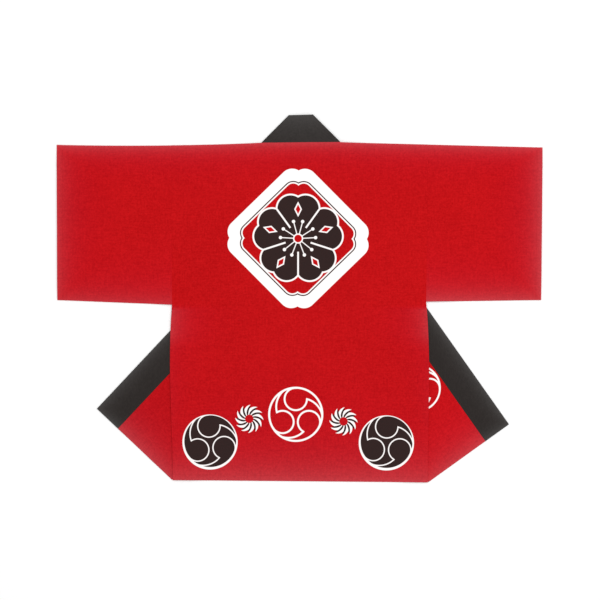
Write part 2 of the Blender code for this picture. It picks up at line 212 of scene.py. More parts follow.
ROUNDEL_RADIUS = 0.0696
HEAD_OUT, HEAD_RADIUS = 0.0386, 0.0282      # a comma's head: its distance out and its radius
TAIL_X, TAIL_Y, TAIL_RADIUS = 0.0143, -0.0132, 0.0536   # inner edge of a comma's tail, an arc
NOTCH_X = 0.0268                    # where head and tail meet
HEAD_TAPER = 0.30                   # the head's line thins at this rate where the tail leaves it
HEAD_END = 0.0100                   # and ends this far past the middle of the head
OUTLINE_LINE, OUTLINE_RING = 0.0045, 0.0050     # white lines and ring of the red roundel
FRONT_LINE = 0.0050                 # both of them on the fronts
SOLID_LINE, SOLID_RING = 0.0030, 0.0042     # white lines and ring of the black ones
SOLID_SLIP = (0.0005, 0.0021)       # their black is printed this far off the middle of the white
ROUNDEL_TURN = np.radians((5.0, 0.0, -0.7))     # turn of each roundel, from left to right
INK_FILL = 0.0016                   # white fills the narrow end of a gap between two lines
ROUNDEL_LEFT = (-0.2262, -0.3626)
ROUNDEL_MIDDLE = (-0.0099, -0.2928)
ROUNDEL_RIGHT = (0.2189, -0.3649)
FRONT_ROUNDEL_IN = {"left": 0.1060, "right": 0.1128}    # a front's roundel, in from its side seam
FRONT_ROUNDEL_UP = 0.2102           # and up from its hem
FRONT_ROUNDEL_SCALE = 0.869         # its size, as a share of the back's
FRONT_ROUNDEL_TURN = np.radians(-6.8)
FRONT_PAINTED_LIGHT = {"left": 0.93, "right": 1.035}     # a front's red, as a share of the back's: painted shade darkens the left front and painted light brightens the right

WHEEL_RADIUS, WHEEL_HOLE = 0.0359, 0.0106   # pinwheel flower: its reach and its bare middle
WHEEL_BLADES = 12
WHEEL_SWIRL = 22.6                  # turn of the blades, in radians per metre outwards
WHEEL_PHASE = np.radians(-7.2)      # turn of the whole flower
WHEEL_GAP = 0.0052                  # black line between two blades, where they are wide
NARROW_GAP = 0.30                   # half of it near the middle, as a share of the sector
WHEEL_SLANT = 0.42                  # a blade's blunt side is this share shorter than its tip
WHEEL_CURVE = 2.1                   # the power by which its outer end curves between the two
GAP_REACH = 0.87                    # the black lines' reach, as a share of the blades'
WHEEL_LEFT = (-0.1272, -0.3042)
WHEEL_RIGHT = (0.1107, -0.3106)
SOFT_EDGE = 0.0005                  # width over which the edge of ink fades

# --- Look of the cotton --------------------------------------------------------------------------
SLUB_WIDTH = 0.6                    # slubs in a thread's own spacing, across the thread
SLUB_LENGTH = 26.0                  # and per metre along it
MOTTLE = 210.0                      # small spots of uneven dye per metre
CLOUDS = (7.0, 6.0)                 # and large ones, across and along
DYE_AND_WEAVE_SHADE = {"slubs": 0.85, "mottle": 1.8, "clouds": 0.4, "threads": 0.25}    # their weight in the tone; the threads' weight paints shade into the weave's hollows
THREAD_MIDDLE = 0.6                 # mean height of a thread, from 0 to 1
RELIEF = {"threads": 0.75, "slubs": 0.5}        # their weight in the height
INK_COVER, INK_LEVEL = 0.985, 0.7   # ink's cover, and the thread height at which it is that
INK_THIN = {"threads": 0.02, "mottle": 0.03}    # how far threads and spots thin it
INK_SMOOTH, INK_GLOSS = 0.45, 0.12  # ink takes these off the relief and the roughness
RUB = (0.35, 0.4)                   # how pale rubbed edges are: evenly, and by the mottle
OUTLINE_SHEEN = (0.027, 0.018)              # the same of the painted sheen
# Painted sheen: share and bluish tone of the haze along the outline
HAZE_SHARE = 0.009
HAZE_TONE = (0.6, 0.0, 1.0, 1.0)
WHITE = (1.0, 1.0, 1.0, 1.0)
INSIDE_SHARE = 0.10                 # how much duller the cloth's inside is
DEEP, BRIGHT = (0.84, 0.0), (1.14, 0.0035)      # tones of the dye and of the painted weave shade: a factor on it and an offset
RUBBED, DULL = (1.03, 0.007), (0.7, 0.02)       # its tones where it is rubbed, and on the inside
ROUGH, ROUGH_VARIES = 0.86, 0.12    # roughness, and its change from spot to spot
WEAVE_BUMP, WEAVE_DEPTH = 0.55, 0.00022
THREAD_DARK, THREAD_LIGHT = (0.62, 0.0), (1.15, 0.004)  # tones of the sewing thread
THREAD_GRAIN = 2600.0               # its grain per metre
GRAIN_CONTRAST, GRAIN_SHIFT = 2.2, -0.6

# --- Stage ---------------------------------------------------------------------------------------
FLOOR_HALF = 8.0                    # half width of the floor
FLOOR_Z = -0.0003                   # the floor is just clear of the cloth
LAMP_SIZE = 3.6
LAMP_AT = (1.5, 1.6, 4.8)


# --- Settings ------------------------------------------------------------------------------------


class CoatSettings(bpy.types.PropertyGroup):
    """Cloth, print and sewing that a user would change."""

    red: bpy.props.FloatVectorProperty(
        name="Red cotton", description="Colour of the dyed cloth",
        subtype="COLOR", size=3, min=0.0, max=1.0, default=(0.497, 0.0024, 0.0042))
    black: bpy.props.FloatVectorProperty(
        name="Black cotton", description="Colour of the collar band",
        subtype="COLOR", size=3, min=0.0, max=1.0, default=(0.0205, 0.0158, 0.0140))
    ink_white: bpy.props.FloatVectorProperty(
        name="White print", description="Colour of the white printed areas",
        subtype="COLOR", size=3, min=0.0, max=1.0, default=(0.96, 0.95, 0.935))
    ink_black: bpy.props.FloatVectorProperty(
        name="Black print", description="Colour of the black printed areas",
        subtype="COLOR", size=3, min=0.0, max=1.0, default=(0.0225, 0.0165, 0.0155))
    cloth: bpy.props.FloatProperty(
        name="Cloth thickness", description="Thickness of one layer of the red cotton",
        unit="LENGTH", subtype="DISTANCE", min=0.0003, max=0.0009, default=0.0008)
    hem: bpy.props.FloatProperty(
        name="Hem width", description="Depth of the turned and stitched hems",
        unit="LENGTH", subtype="DISTANCE", min=0.008, max=0.03, default=0.015)
    step: bpy.props.FloatProperty(
        name="Grid step", description="Spacing of the points across the cloth",
        unit="LENGTH", subtype="DISTANCE", min=0.003, max=0.02, default=0.0052)
    weave: bpy.props.FloatProperty(
        name="Thread spacing", description="Distance from one thread of the weave to the next",
        unit="LENGTH", subtype="DISTANCE", min=0.0003, max=0.003, default=0.0009)
    stitch_pitch: bpy.props.FloatProperty(
        name="Stitch pitch", description="Distance from one stitch to the next",
        unit="LENGTH", subtype="DISTANCE", min=0.002, max=0.01, default=0.0038)
    thread: bpy.props.FloatProperty(
        name="Thread thickness", description="Thickness of the sewing thread",
        unit="LENGTH", subtype="DISTANCE", min=0.0002, max=0.001, default=0.00042)


class StageSettings(bpy.types.PropertyGroup):
    """Floor, light and camera."""

    floor: bpy.props.FloatVectorProperty(
        name="Floor", description="Colour of the floor",
        subtype="COLOR", size=3, min=0.0, max=1.0, default=(0.96, 0.96, 0.96))
    sky: bpy.props.FloatProperty(
        name="Sky strength", description="Strength of the even light from all sides",
        min=0.0, max=3.0, default=0.78)
    key: bpy.props.FloatProperty(
        name="Key light", description="Power of the large lamp at the upper right",
        unit="POWER", min=0.0, max=500.0, default=118.0)
    camera_at: bpy.props.FloatVectorProperty(
        name="Camera place", description="Place of the camera, which looks straight down",
        unit="LENGTH", subtype="TRANSLATION", size=3, default=(0.00085, -0.0041, 3.579))
    lens: bpy.props.FloatProperty(
        name="Lens", description="Focal length of the camera in millimetres",
        min=20.0, max=200.0, default=85.0)


# --- The cut and its folds, as in the frame ------------------------------------------------------


def ease(value, start, end):
    """0 up to start, 1 from end, and a smooth S between them."""
    t = np.clip((value - start) / (end - start), 0.0, 1.0)
    return t * t * (3.0 - 2.0 * t)


def mix(first, second, share):
    """The value a share of the way from first to second."""
    return first + (second - first) * share


def hem_y(side, out):
    """Hem line of a front: from the back's at the side seam it rises to the front edge."""
    return HEM_Y + HEM_TILT * side.sign * side.hem_half + side.hem_rise * (side.hem_half - out)


def shoulder_y(side, out):
    """Top of shoulder and sleeve: a shallow parabola from the neck to the cuff."""
    t = (out - side.neck_out) / (side.cuff_top - side.neck_out)
    return side.neck_y - side.shoulder_dip * t + side.shoulder_rise * t * t


def side_out(side, y):
    """Side seam with its bulge, widest two thirds of the way up, and above it the armhole.

    The bulge is the square of the share of the height times what is left of it, scaled to 1.
    """
    t = (y - HEM_Y) / (side.underarm_y - HEM_Y)
    low = np.clip(t, 0.0, 1.0)
    bulge = SIDE_BULGE * BULGE_SCALE * low**2 * (1.0 - low)
    seam = mix(side.hem_half, side.underarm_out, low) + bulge
    up = (y - side.underarm_y) / (shoulder_y(side, BODY_HALF) - side.underarm_y)
    return np.where(t < 1.0, seam, mix(side.underarm_out, BODY_HALF, up))


def underarm_y(side, out):
    """Lower edge of the sleeve: straight from the side seam to the cuff."""
    share = (out - side.underarm_out) / (side.cuff_foot - side.underarm_out)
    return mix(side.underarm_y, side.cuff_foot_y, share)


def underarm_line(x):
    """A line across the back from one underarm to the other."""
    return np.interp(x, (-BODY_HALF, BODY_HALF), (LEFT.underarm_y, RIGHT.underarm_y))


def neckline_y(x):
    """Back neckline: straight from one neck point to the other."""
    share = (x + LEFT.neck_out) / (LEFT.neck_out + RIGHT.neck_out)
    return mix(LEFT.neck_y, RIGHT.neck_y, share)


def edge_out(side, y):
    """Front edge, where the band is sewn on: upright near the hem, easing over to the neck."""
    return mix(side.edge_out, side.neck_out, ease(y, EDGE_TURN_Y, side.neck_y))


def band_width(side, y):
    """Width of the band at a height of the cut: it narrows from the front edge to the neck."""
    return BAND_WIDTH * mix(1.0, NAPE_SHARE, ease(y, EDGE_TURN_Y, side.neck_y))


def crease_frame(side):
    """Lower end of the crease, its direction, and its normal towards the part turned under."""
    foot_y = hem_y(side, side.hem_half) + CREASE_START
    start = (side_out(side, foot_y), foot_y)
    along = (-np.cos(side.crease_angle), np.sin(side.crease_angle))
    normal = (-np.sin(side.crease_angle), -np.cos(side.crease_angle))
    return start, along, normal


def past_crease(side, out, y):
    """Distance past the crease: past its straight line, less its bend at that place."""
    start, along, normal = crease_frame(side)
    d_out, d_y = out - start[0], y - start[1]
    bend = side.crease_bend * ease(d_out * along[0] + d_y * along[1], BEND_FROM, BEND_TO)
    return d_out * normal[0] + d_y * normal[1] - bend


def mirrored(side, out, y):
    """A point turned over the crease. The same rule takes cut to coat and coat to cut."""
    _, _, normal = crease_frame(side)
    past = past_crease(side, out, y)
    return out - 2.0 * past * normal[0], y - 2.0 * past * normal[1]


def edges_within(side, out, y, bound):
    """Signed distances to a front and to the band on it, negative inside, within a bound."""
    seam = edge_out(side, y)
    width = band_width(side, y)
    across = np.abs(out - seam + width / 2) - width / 2
    return np.maximum(bound, seam - width - out), np.maximum(bound, across)


def flap_edges(side, out, y):
    """These distances for what is turned under, bounded by the crease and the hem."""
    cut_out, cut_y = mirrored(side, out, y)
    bound = np.maximum(past_crease(side, out, y), hem_y(side, cut_out) - cut_y)
    return edges_within(side, cut_out, cut_y, bound)


def body_edges(side, out, y):
    """These distances for what is left under the back, bounded by the crease."""
    return edges_within(side, out, y, past_crease(side, out, y))


def raised(edges, level):
    """Lift over cloth and band: a layer and its gap, level this far past the edges, then fading."""
    front, band = edges
    over_cloth = (LAYER + GAP) * (1.0 - ease(front, level, level + RAMP))
    return over_cloth + (BAND - LAYER) * (1.0 - ease(band, level, level + RAMP))


def front_floor(x, y):
    """Underside of the fronts and of the sleeves' lower layer: over what is turned under."""
    lifts = [raised(flap_edges(side, side.sign * x, y), FRONT_REACH) for side in SIDES]
    return np.maximum(*lifts)


def ridge(x, y, fold):
    """A bell across the fold's line, growing from nothing and fading again along a squared sine."""
    d_x, d_y = fold.to_x - fold.x, fold.to_y - fold.y
    length = np.hypot(d_x, d_y)
    along = ((x - fold.x) * d_x + (y - fold.y) * d_y) / length**2
    across = ((x - fold.x) * d_y - (y - fold.y) * d_x) / length
    swell = np.sin(np.pi * np.clip(along, 0.0, 1.0)) ** 2
    return fold.height * swell * np.exp(-((across / fold.width) ** 2))


def inside_sewn(x, y):
    """Distance inwards from the sewn outline of sides, underarms, sleeves and shoulders."""
    depths = []
    for side in SIDES:
        out = side.sign * x
        top = shoulder_y(side, np.maximum(out, side.neck_out)) - y
        foot = np.maximum(side_out(side, y) - out, y - underarm_y(side, out))
        depths.append(np.minimum(top, foot))
    return np.where(x < 0.0, depths[0], depths[1])


def back_floor(x, y):
    """Underside of the back and of the sleeves' upper layer.

    It lies over all that is below it, with some air and its soft folds, closes on the lower
    layer at the sewn edges, and stays open at the hem and at the cuffs.
    """
    lifts = [raised(flap_edges(side, side.sign * x, y), BACK_REACH)
             + raised(body_edges(side, side.sign * x, y), FRONT_REACH) for side in SIDES]
    depth = inside_sewn(x, y)
    air = mix(AIR, CUFF_AIR, ease(np.abs(x), CUFF_FROM, CUFF_TO))
    folds = sum(ridge(x, y, fold) for fold in UPPER_FOLDS)
    beside_neck = ease(np.abs(x), RIGHT.neck_out, RIGHT.neck_out + TUCK)
    sink = SEAM_SINK * beside_neck * (1.0 - ease(depth, 0.0, SEAM_CLOSE))
    return np.maximum(*lifts) + ease(depth, 0.0, SEW_FADE) * np.maximum(air + folds, 0.0) - sink


def settled(points):
    """All layers lifted alike by the low folds of the cloth that lies on the floor."""
    x, y = points[..., 0], points[..., 1]
    lift = sum(ridge(x, y, fold) for fold in GROUND_FOLDS)
    return points + np.stack([np.zeros_like(x), np.zeros_like(x), lift], axis=-1)


def rolled(past, radius):
    """Half round of a folded edge: where a point lies across it, and how far down it is."""
    inside = np.clip(past, -radius, radius)
    return np.sqrt(radius * radius - inside * inside) - radius, radius + inside


def turned(side, out, y, lift):
    """Coat position of points of the cut. Lift is the wall's middle above its own underside.

    Before the crease a point stays; across it, it runs round a half circle; past it, it is
    mirrored over the crease and lies on the floor.
    """
    _, _, normal = crease_frame(side)
    past = past_crease(side, out, y)
    foot_out, foot_y = out - past * normal[0], y - past * normal[1]
    radius = front_floor(side.sign * foot_out, foot_y) / 2.0
    across, drop = rolled(past, radius)
    mirror_out, mirror_y = mirrored(side, out, y)
    before, after = past < -radius, past > radius
    new_out = np.where(before, out, np.where(after, mirror_out, foot_out + across * normal[0]))
    new_y = np.where(before, y, np.where(after, mirror_y, foot_y + across * normal[1]))
    rolling = np.where(after, 0.0, 2 * radius - drop)
    height = np.where(before, front_floor(side.sign * out, y), rolling)
    return np.stack([side.sign * new_out, new_y, height + lift], axis=-1)


def crease_height(side, place, low, high):
    """Height at which each thread line meets the crease, by halving the range."""
    for _ in range(HALVINGS):
        middle = (low + high) / 2.0
        beyond = past_crease(side, place(middle), middle) > 0.0
        low = np.where(beyond, middle, low)
        high = np.where(beyond, high, middle)
    return (low + high) / 2.0


# --- Lines of a grid -----------------------------------------------------------------------------


def rim(radius):
    """Distances from an edge at which a wall rounds off as a quarter circle."""
    return radius * (1.0 - np.cos(RIM_ANGLE))


def hem_lines(look):
    """Distances from a hem at which its rim, its stitches and its inner edge need a line."""
    near = np.linspace(-2.0, 2.0, 9) * GROOVE_WIDTH
    return np.concatenate([rim(look.cloth / 2.0), HEM_ROWS, look.hem + near])


def fullness(count):
    """Share of the wall's thickness on each of count lines, falling to nothing at both edges."""
    full = np.ones(count)
    full[:RIM_STEPS + 1] = np.sin(RIM_ANGLE)
    full[-RIM_STEPS - 1:] = np.sin(RIM_ANGLE)[::-1]
    return full


def full_inside(panel):
    """The wall's fullness at each point of a panel, which falls to nothing on all four edges."""
    rows, columns = panel.points.shape[:2]
    return np.minimum(fullness(rows)[:, None], fullness(columns)[None, :])


def even_lines(start, end, step, radius):
    """Lines from start to end: round both rims closely, and evenly between them."""
    at = rim(radius) * np.sign(end - start)
    count = int(np.ceil(abs(end - start) / step))
    middle = np.linspace(start + at[-1], end - at[-1], count + 1)[1:-1]
    return np.concatenate([start + at, middle, (end - at)[::-1]])


def heights(bottom, top, low, high, step):
    """Rows between two curves: at fixed distances above the lower one and below the upper one, and
    even in between."""
    low_rows = bottom + low[:, None]
    high_rows = top - high[::-1, None]
    count = int(np.ceil(np.max(high_rows[0] - low_rows[-1]) / step))
    share = np.linspace(0.0, 1.0, count + 1)[1:-1, None]
    return np.concatenate([low_rows, mix(low_rows[-1], high_rows[0], share), high_rows])


def heights_through_crease(side, place, bottom, top, low, high, step):
    """Rows of a panel that is turned over its crease: as heights, but closest round the crease."""
    crease = crease_height(side, place, bottom, top)
    radius = front_floor(side.sign * place(crease), crease) / 2.0
    below, above = crease - radius, crease + radius
    fall = past_crease(side, place(below), below) - past_crease(side, place(above), above)
    rise = radius / (fall / (2.0 * radius))
    room = np.minimum(1.0, CREASE_ROOM * (crease - rise - bottom) / low[-1])
    low_rows = bottom + low[:, None] * room
    count = int(np.ceil(np.max(crease - rise - low_rows[-1]) / step))
    share = np.linspace(0.0, 1.0, count + 1)[1:-1, None]
    even = mix(low_rows[-1], crease - rise, share)
    turn = crease - rise * np.cos(np.linspace(0.0, np.pi, ROLL_STEPS + 1))[:, None]
    upper = heights(crease + rise, top, np.zeros(1), high, step)
    return np.concatenate([low_rows, even, turn[:-1], upper])


# --- Pieces: points half way through the wall, and their places in the cut -----------------------

# Points in the coat, places in the cut, distance from the hem, and wear with painted sheen, for
# each crossing.
Panel = namedtuple("Panel", "points cut hem wear")


def back_panel(look, x, low, high):
    """The back: columns at x, rows from the hem to shoulder and neck."""
    top = np.where(x < -LEFT.neck_out, shoulder_y(LEFT, -x),
                   np.where(x > RIGHT.neck_out, shoulder_y(RIGHT, x), neckline_y(x) + SEWN_IN))
    bottom = HEM_Y + HEM_TILT * x
    middle = underarm_line(x)
    below = heights(bottom, middle, low, np.zeros(1), look.step)
    y = np.concatenate([below[:-1], heights(middle, top, np.zeros(1), high, look.step)])
    out_x = x * np.where(x < 0.0, side_out(LEFT, y), side_out(RIGHT, y)) / BODY_HALF
    past_neck = np.maximum(-out_x - LEFT.neck_out, out_x - RIGHT.neck_out)
    to_band = np.hypot(np.maximum(past_neck, 0.0), neckline_y(out_x) - y)
    tuck = (BAND - LAYER) / 2.0 * (1.0 - ease(to_band, 0.0, TUCK))
    points = np.stack([out_x, y, back_floor(out_x, y) + LAYER / 2.0 + tuck], axis=-1)
    # Painted sheen: distance to the outline along shoulders and hem, and to the sides, counted
    # farther where a seam is covered and at the armhole.
    ends = np.minimum(TOP_SHEEN * (top - y), HEM_SHEEN * (y - bottom))
    above_side = ease(y, *OPEN_SIDE[2:])
    below_sleeve = ease(y, *OPEN_SIDE[:2]) * (1.0 - above_side)
    hidden = 1.0 - OPEN_SHARE * below_sleeve + ARMHOLE_TIMES * above_side
    beside = BODY_HALF - np.abs(x) + COVERED * hidden
    edge = np.minimum(top - y, y - bottom)
    wear = wear_and_sheen_of(edge, np.minimum(ends, beside))
    return Panel(settled(points), np.stack([out_x, y], axis=-1), y - bottom, wear)


def meeting_underarm(side, share, y):
    """Rows of a front, the nearest one moved to the underarm at the side seam."""
    row = np.argmin(np.abs(y[:, 0] - side.underarm_y))
    y[row] += (side.underarm_y - y[row, 0]) * (1.0 - share)
    return y


def front_panel(look, side, share, low, high):
    """A front: columns at shares of the way from side seam to front edge, rows from the hem up.

    Its place in the cut is given as it is seen from the outside of the cloth, so mirrored.
    """
    def place(y):
        return mix(side_out(side, y), edge_out(side, y), share)

    bottom = hem_y(side, place(HEM_Y))
    top = shoulder_y(side, place(side.neck_y)) - FRONT_DROP
    rows = heights_through_crease(side, place, bottom, top, low, high, look.step)
    y = meeting_underarm(side, share, rows)
    out = place(y)
    tuck = (BAND - LAYER) / 2.0 * (1.0 - ease(out - edge_out(side, y), 0.0, TUCK))
    points = turned(side, out, y, LAYER / 2.0 + tuck)
    edge = np.minimum(top - y, y - bottom)
    # Rubbed edges, and painted sheen along the hem.
    wear = wear_and_sheen_of(edge, FRONT_SHEEN * (y - bottom))
    return Panel(settled(points), np.stack([-side.sign * out, y], axis=-1), y - bottom, wear)


def layer_and_fold(x, y, z, radius, sense):
    """One layer of a flat tube, and the half circle from its last edge to the other layer."""
    angle = np.linspace(0.0, np.pi, ROLL_STEPS + 1)[1:-1]
    x_turn = np.repeat(x[:, -1:], len(angle), axis=1)
    y_turn = y[:, -1:] + sense * radius * np.sin(angle)
    z_turn = z[:, -1:] - sense * radius * (1.0 - np.cos(angle))
    return np.stack([np.hstack(pair) for pair in ((x, x_turn), (y, y_turn), (z, z_turn))], axis=-1)


def sleeve_panel(look, side, station):
    """A sleeve: a flat tube, rows at shares of the way to the cuff and columns round the tube.

    Each layer runs from fold to fold, and a half circle joins the layers at each fold. The last
    column is the first one again.
    """
    def layers_at(level):
        """Heights of the lower and of the upper layer's middle at a level of the cut."""
        return front_floor(x, level) + LAYER / 2.0, back_floor(x, level) + LAYER / 2.0

    station = station[:, None]
    middle = (side.cuff_top + side.cuff_foot) / 2.0
    top = shoulder_y(side, mix(BODY_HALF - LAP, middle, station)) - LAYER / 2.0
    foot = underarm_y(side, mix(side.underarm_out - LAP, middle, station)) + LAYER / 2.0
    count = int(np.ceil((side.neck_y - side.underarm_y) / look.step))
    share = np.linspace(0.0, 1.0, count + 1)
    cuff = mix(side.cuff_foot, side.cuff_top, share)
    armhole = mix(side.underarm_out, BODY_HALF, share)
    x = side.sign * mix(armhole - LAP, cuff, station)
    lower, upper = layers_at(mix(foot, top, share))
    radius = (upper - lower) / 2.0
    level = mix(foot + radius[:, :1], top - radius[:, -1:], share)
    lower, upper = layers_at(level)
    points = settled(np.concatenate([
        layer_and_fold(x, level, upper, radius[:, -1:], 1.0),
        layer_and_fold(x[:, ::-1], level[:, ::-1], lower[:, ::-1], radius[:, :1], -1.0)], axis=1))
    points = np.concatenate([points, points[:, :1]], axis=1)
    steps = np.linalg.norm(np.diff(points[:, :, 1:], axis=1), axis=-1)
    around = np.hstack([np.zeros((len(points), 1)), np.cumsum(steps, axis=1)])
    to_cuff = np.abs(points[-1:, :, 0]) - np.abs(points[:, :, 0])
    to_top = np.abs(points[..., 1] - shoulder_y(side, np.abs(points[..., 0])))
    to_foot = np.abs(points[..., 1] - underarm_y(side, np.abs(points[..., 0])))
    edge = np.minimum(to_cuff, np.minimum(to_top, to_foot))
    # Rubbed edges, and painted sheen along cuff, underarm and shoulder; fainter on the left sleeve
    # as painted shade.
    dim = LEFT_DIM if side is LEFT else 0.0
    wear = wear_and_sheen_of(edge, np.minimum(np.minimum(to_cuff, to_foot) + dim, TOP_SHEEN * to_top))
    return Panel(points, np.stack([np.abs(points[..., 0]), around], axis=-1), to_cuff, wear)


def nape_turn(side, width, beyond):
    """The band round its 45 degree fold beside the neck, at shares of the fold's radius past it."""
    root = np.sqrt(0.5)
    out, y = side.neck_out - width * NAPE_SHARE, side.neck_y + width * NAPE_SHARE
    low, high = (floor(side.sign * out, y) for floor in (front_floor, back_floor))
    radius = (high - low) / 2.0
    past = beyond * radius
    across, drop = rolled(past, radius)
    foot_out, foot_y = out - past * root, y + past / root - past * root
    x = side.sign * (foot_out + across * root)
    return np.stack([x, foot_y + across * root, low + drop + BAND / 2.0], axis=-1)


def band_leg(look, side, width):
    """One end of the band: from the hem through the crease and round the fold at the neck."""
    def place(y):
        return edge_out(side, y) - width * band_width(side, y) / BAND_WIDTH

    bottom = hem_y(side, place(HEM_Y))
    top = side.neck_y + width * NAPE_SHARE - 2.0 * BAND
    low = np.append(rim(BAND / 2.0), BAND_ROW)
    y = heights_through_crease(side, place, bottom, top, low, np.zeros(1), look.step)
    leg = turned(side, place(y), y, BAND / 2.0)
    beyond = -np.cos(np.linspace(0.0, np.pi, ROLL_STEPS + 1))[:, None]
    return np.concatenate([leg, nape_turn(side, width, beyond)])


def collar_panel(look, width):
    """The collar band from the left hem, round the back of the neck, to the right hem.

    Its columns lie at distances from its seam. Its place in the cut is the distance along its
    middle and the distance from its seam.
    """
    left, right = (band_leg(look, side, width) for side in SIDES)
    rows = int(np.ceil((LEFT.neck_out + RIGHT.neck_out) / look.step))
    share = np.linspace(0.0, 1.0, rows + 1)[1:-1, None]
    x = mix(left[-1, :, 0], right[-1, :, 0], share)
    y = mix(left[-1, :, 1], right[-1, :, 1], share)
    nape = np.stack([x, y, back_floor(x, y) + BAND / 2.0], axis=-1)
    points = settled(np.concatenate([left, nape, right[::-1]]))
    steps = np.linalg.norm(np.diff(points.mean(axis=1), axis=0), axis=-1)
    along = np.concatenate([[0.0], np.cumsum(steps)])
    cut = np.stack(np.broadcast_arrays(width[None, :], along[:, None]), axis=-1)
    ends = np.minimum(along, along[-1] - along)[:, None]
    free = np.minimum((width[-1] - width)[None, :], ends)
    # Painted sheen along the band's free edge and ends, stronger round the neck.
    at_nape = ease(points[..., 1], LEFT.neck_y - TUCK, LEFT.neck_y)
    outline = free * mix(TOP_SHEEN, NAPE_SHEEN, at_nape)
    edge = np.minimum(free, (width - width[0])[None, :])
    return Panel(points, cut, ends, wear_and_sheen_of(edge, outline))


# --- Meshes --------------------------------------------------------------------------------------


def normals_of(points, ring=False):
    """Unit normals: the cross product of the central differences along rows and columns."""
    down = np.gradient(points, axis=0)
    across = np.gradient(points, axis=1)
    if ring:
        closing = points[:, 1] - points[:, -2]
        across[:, 0] = closing / 2.0
        across[:, -1] = closing / 2.0
    normal = np.cross(across, down)
    return normal / np.linalg.norm(normal, axis=-1, keepdims=True)


def new_piece(name, places, faces, material):
    """A smooth mesh object at the origin, with its places in its mesh."""
    mesh = bpy.data.meshes.new(name)
    mesh.from_pydata(places.tolist(), [], faces)
    mesh.materials.append(material)
    mesh.polygons.foreach_set("use_smooth", np.ones(len(mesh.polygons), dtype=bool))
    piece = bpy.data.objects.new(name, mesh)
    bpy.context.scene.collection.objects.link(piece)
    return piece


# Of a grid's crossings, those that are the first, second, third and fourth corner of a face.
LOWER, UPPER = slice(None, -1), slice(1, None)
CORNERS = ((LOWER, LOWER), (LOWER, UPPER), (UPPER, UPPER), (UPPER, LOWER))


def at_corners(values, corners):
    """A grid's values at the corners of its faces, one row for each corner."""
    return np.stack([values[c] for c in corners], axis=2).reshape(-1, values.shape[-1])


def cloth_piece(name, panel, walls, sense, material, ring=False):
    """A closed shell of cloth round a panel's grid of points.

    The outer face is the grid moved along its normals by the first wall, the inner face the grid
    moved the other way by the second, and both meet where those are nothing, at the edges. Sense
    is -1 where the grid's own normals point inwards. A ring's last column stands on its first.
    The face corners carry the place in the cut with +1 outside and -1 inside, the wear with its
    painted sheen, and a map for the bake: the outside on its left, the inside on its right.
    """
    points, cut, _, wear_and_sheen_grid = panel
    outer, inner = walls
    rows, columns = points.shape[:2]
    normal = normals_of(points, ring) * sense
    places = np.concatenate([(points + normal * outer[..., None]).reshape(-1, 3),
                             (points - normal * inner[..., None]).reshape(-1, 3)])
    grid = np.arange(rows * columns).reshape(rows, columns)
    shared = grid + rows * columns
    shared[[0, -1]] = grid[[0, -1]]
    if ring:
        grid[:, -1], shared[:, -1] = grid[:, 0], shared[:, 0]
    else:
        shared[:, [0, -1]] = grid[:, [0, -1]]
    low, span = cut.reshape(-1, 2).min(axis=0), np.ptp(cut.reshape(-1, 2), axis=0)
    flat = (cut - low) / span
    faces, places_in_cut, bake_map, wear = [], [], [], []
    for layer, face, start, width in ((grid, 1.0, MAP_MARGIN, MAP_OUTSIDE),
                                      (shared, -1.0, MAP_INSIDE_AT, MAP_INSIDE)):
        corners = CORNERS if sense * face > 0.0 else CORNERS[::-1]
        placed = np.concatenate([cut, np.full((rows, columns, 1), face)], axis=-1)
        mapped = np.stack([start + width * flat[..., 0],
                           MAP_MARGIN + (1.0 - 2.0 * MAP_MARGIN) * flat[..., 1]], axis=-1)
        faces.append(np.stack([layer[c] for c in corners], axis=-1).reshape(-1, 4))
        places_in_cut.append(at_corners(placed, corners))
        bake_map.append(at_corners(mapped, corners))
        wear.append(at_corners(wear_and_sheen_grid, corners))
    faces = np.concatenate(faces)
    used, index = np.unique(faces, return_inverse=True)
    piece = new_piece(name, places[used], index.reshape(-1, 4).tolist(), material)
    mesh = piece.data
    for label, parts in (("cut", places_in_cut), ("wear", wear)):
        attribute = mesh.attributes.new(label, "FLOAT_VECTOR", "CORNER")
        attribute.data.foreach_set("vector", np.concatenate(parts).ravel().astype(np.float32))
    bake = mesh.uv_layers.new(name="OFBake")
    bake.uv.foreach_set("vector", np.concatenate(bake_map).ravel().astype(np.float32))
    return piece


def groove(distance, line):
    """Depth of the dent along a line of stitches: a bell across it."""
    return GROOVE * np.exp(-(((distance - line) / GROOVE_WIDTH) ** 2))


def hem_walls(look, full, distance, second_outside=False):
    """Outer and inner half walls: half the cloth each, and a second layer over a turned hem.

    The second layer thickens one half wall and shows a little on the other. The stitches pull
    both faces in along a groove at the hem's inner edge.
    """
    turned_up = 1.0 - ease(distance, look.hem, look.hem + HEM_STEP)
    dent = groove(distance, look.hem - GROOVE_WIDTH)
    thick = look.cloth / 2.0 + SECOND_LAYER * look.cloth * turned_up - dent
    thin = look.cloth / 2.0 + (0.0 if second_outside else HEM_PROUD) * turned_up - dent
    walls = (thick, thin) if second_outside else (thin, thick)
    return walls[0] * full, walls[1] * full


def wear_and_sheen_of(edge, outline):
    """Wear and painted sheen in three parts, each 1 on an edge: rubbed edges, gone within a few
    millimetres, and a painted pale sheen and a wider painted bluish haze along the coat's own
    outline."""
    rub = np.exp(-np.maximum(edge, 0.0) / RUB_REACH)
    painted_sheen, haze = (np.exp(-np.maximum(outline, 0.0) / far) for far in (SHEEN_REACH, HAZE_REACH))
    return np.stack([rub, painted_sheen, haze], axis=-1)


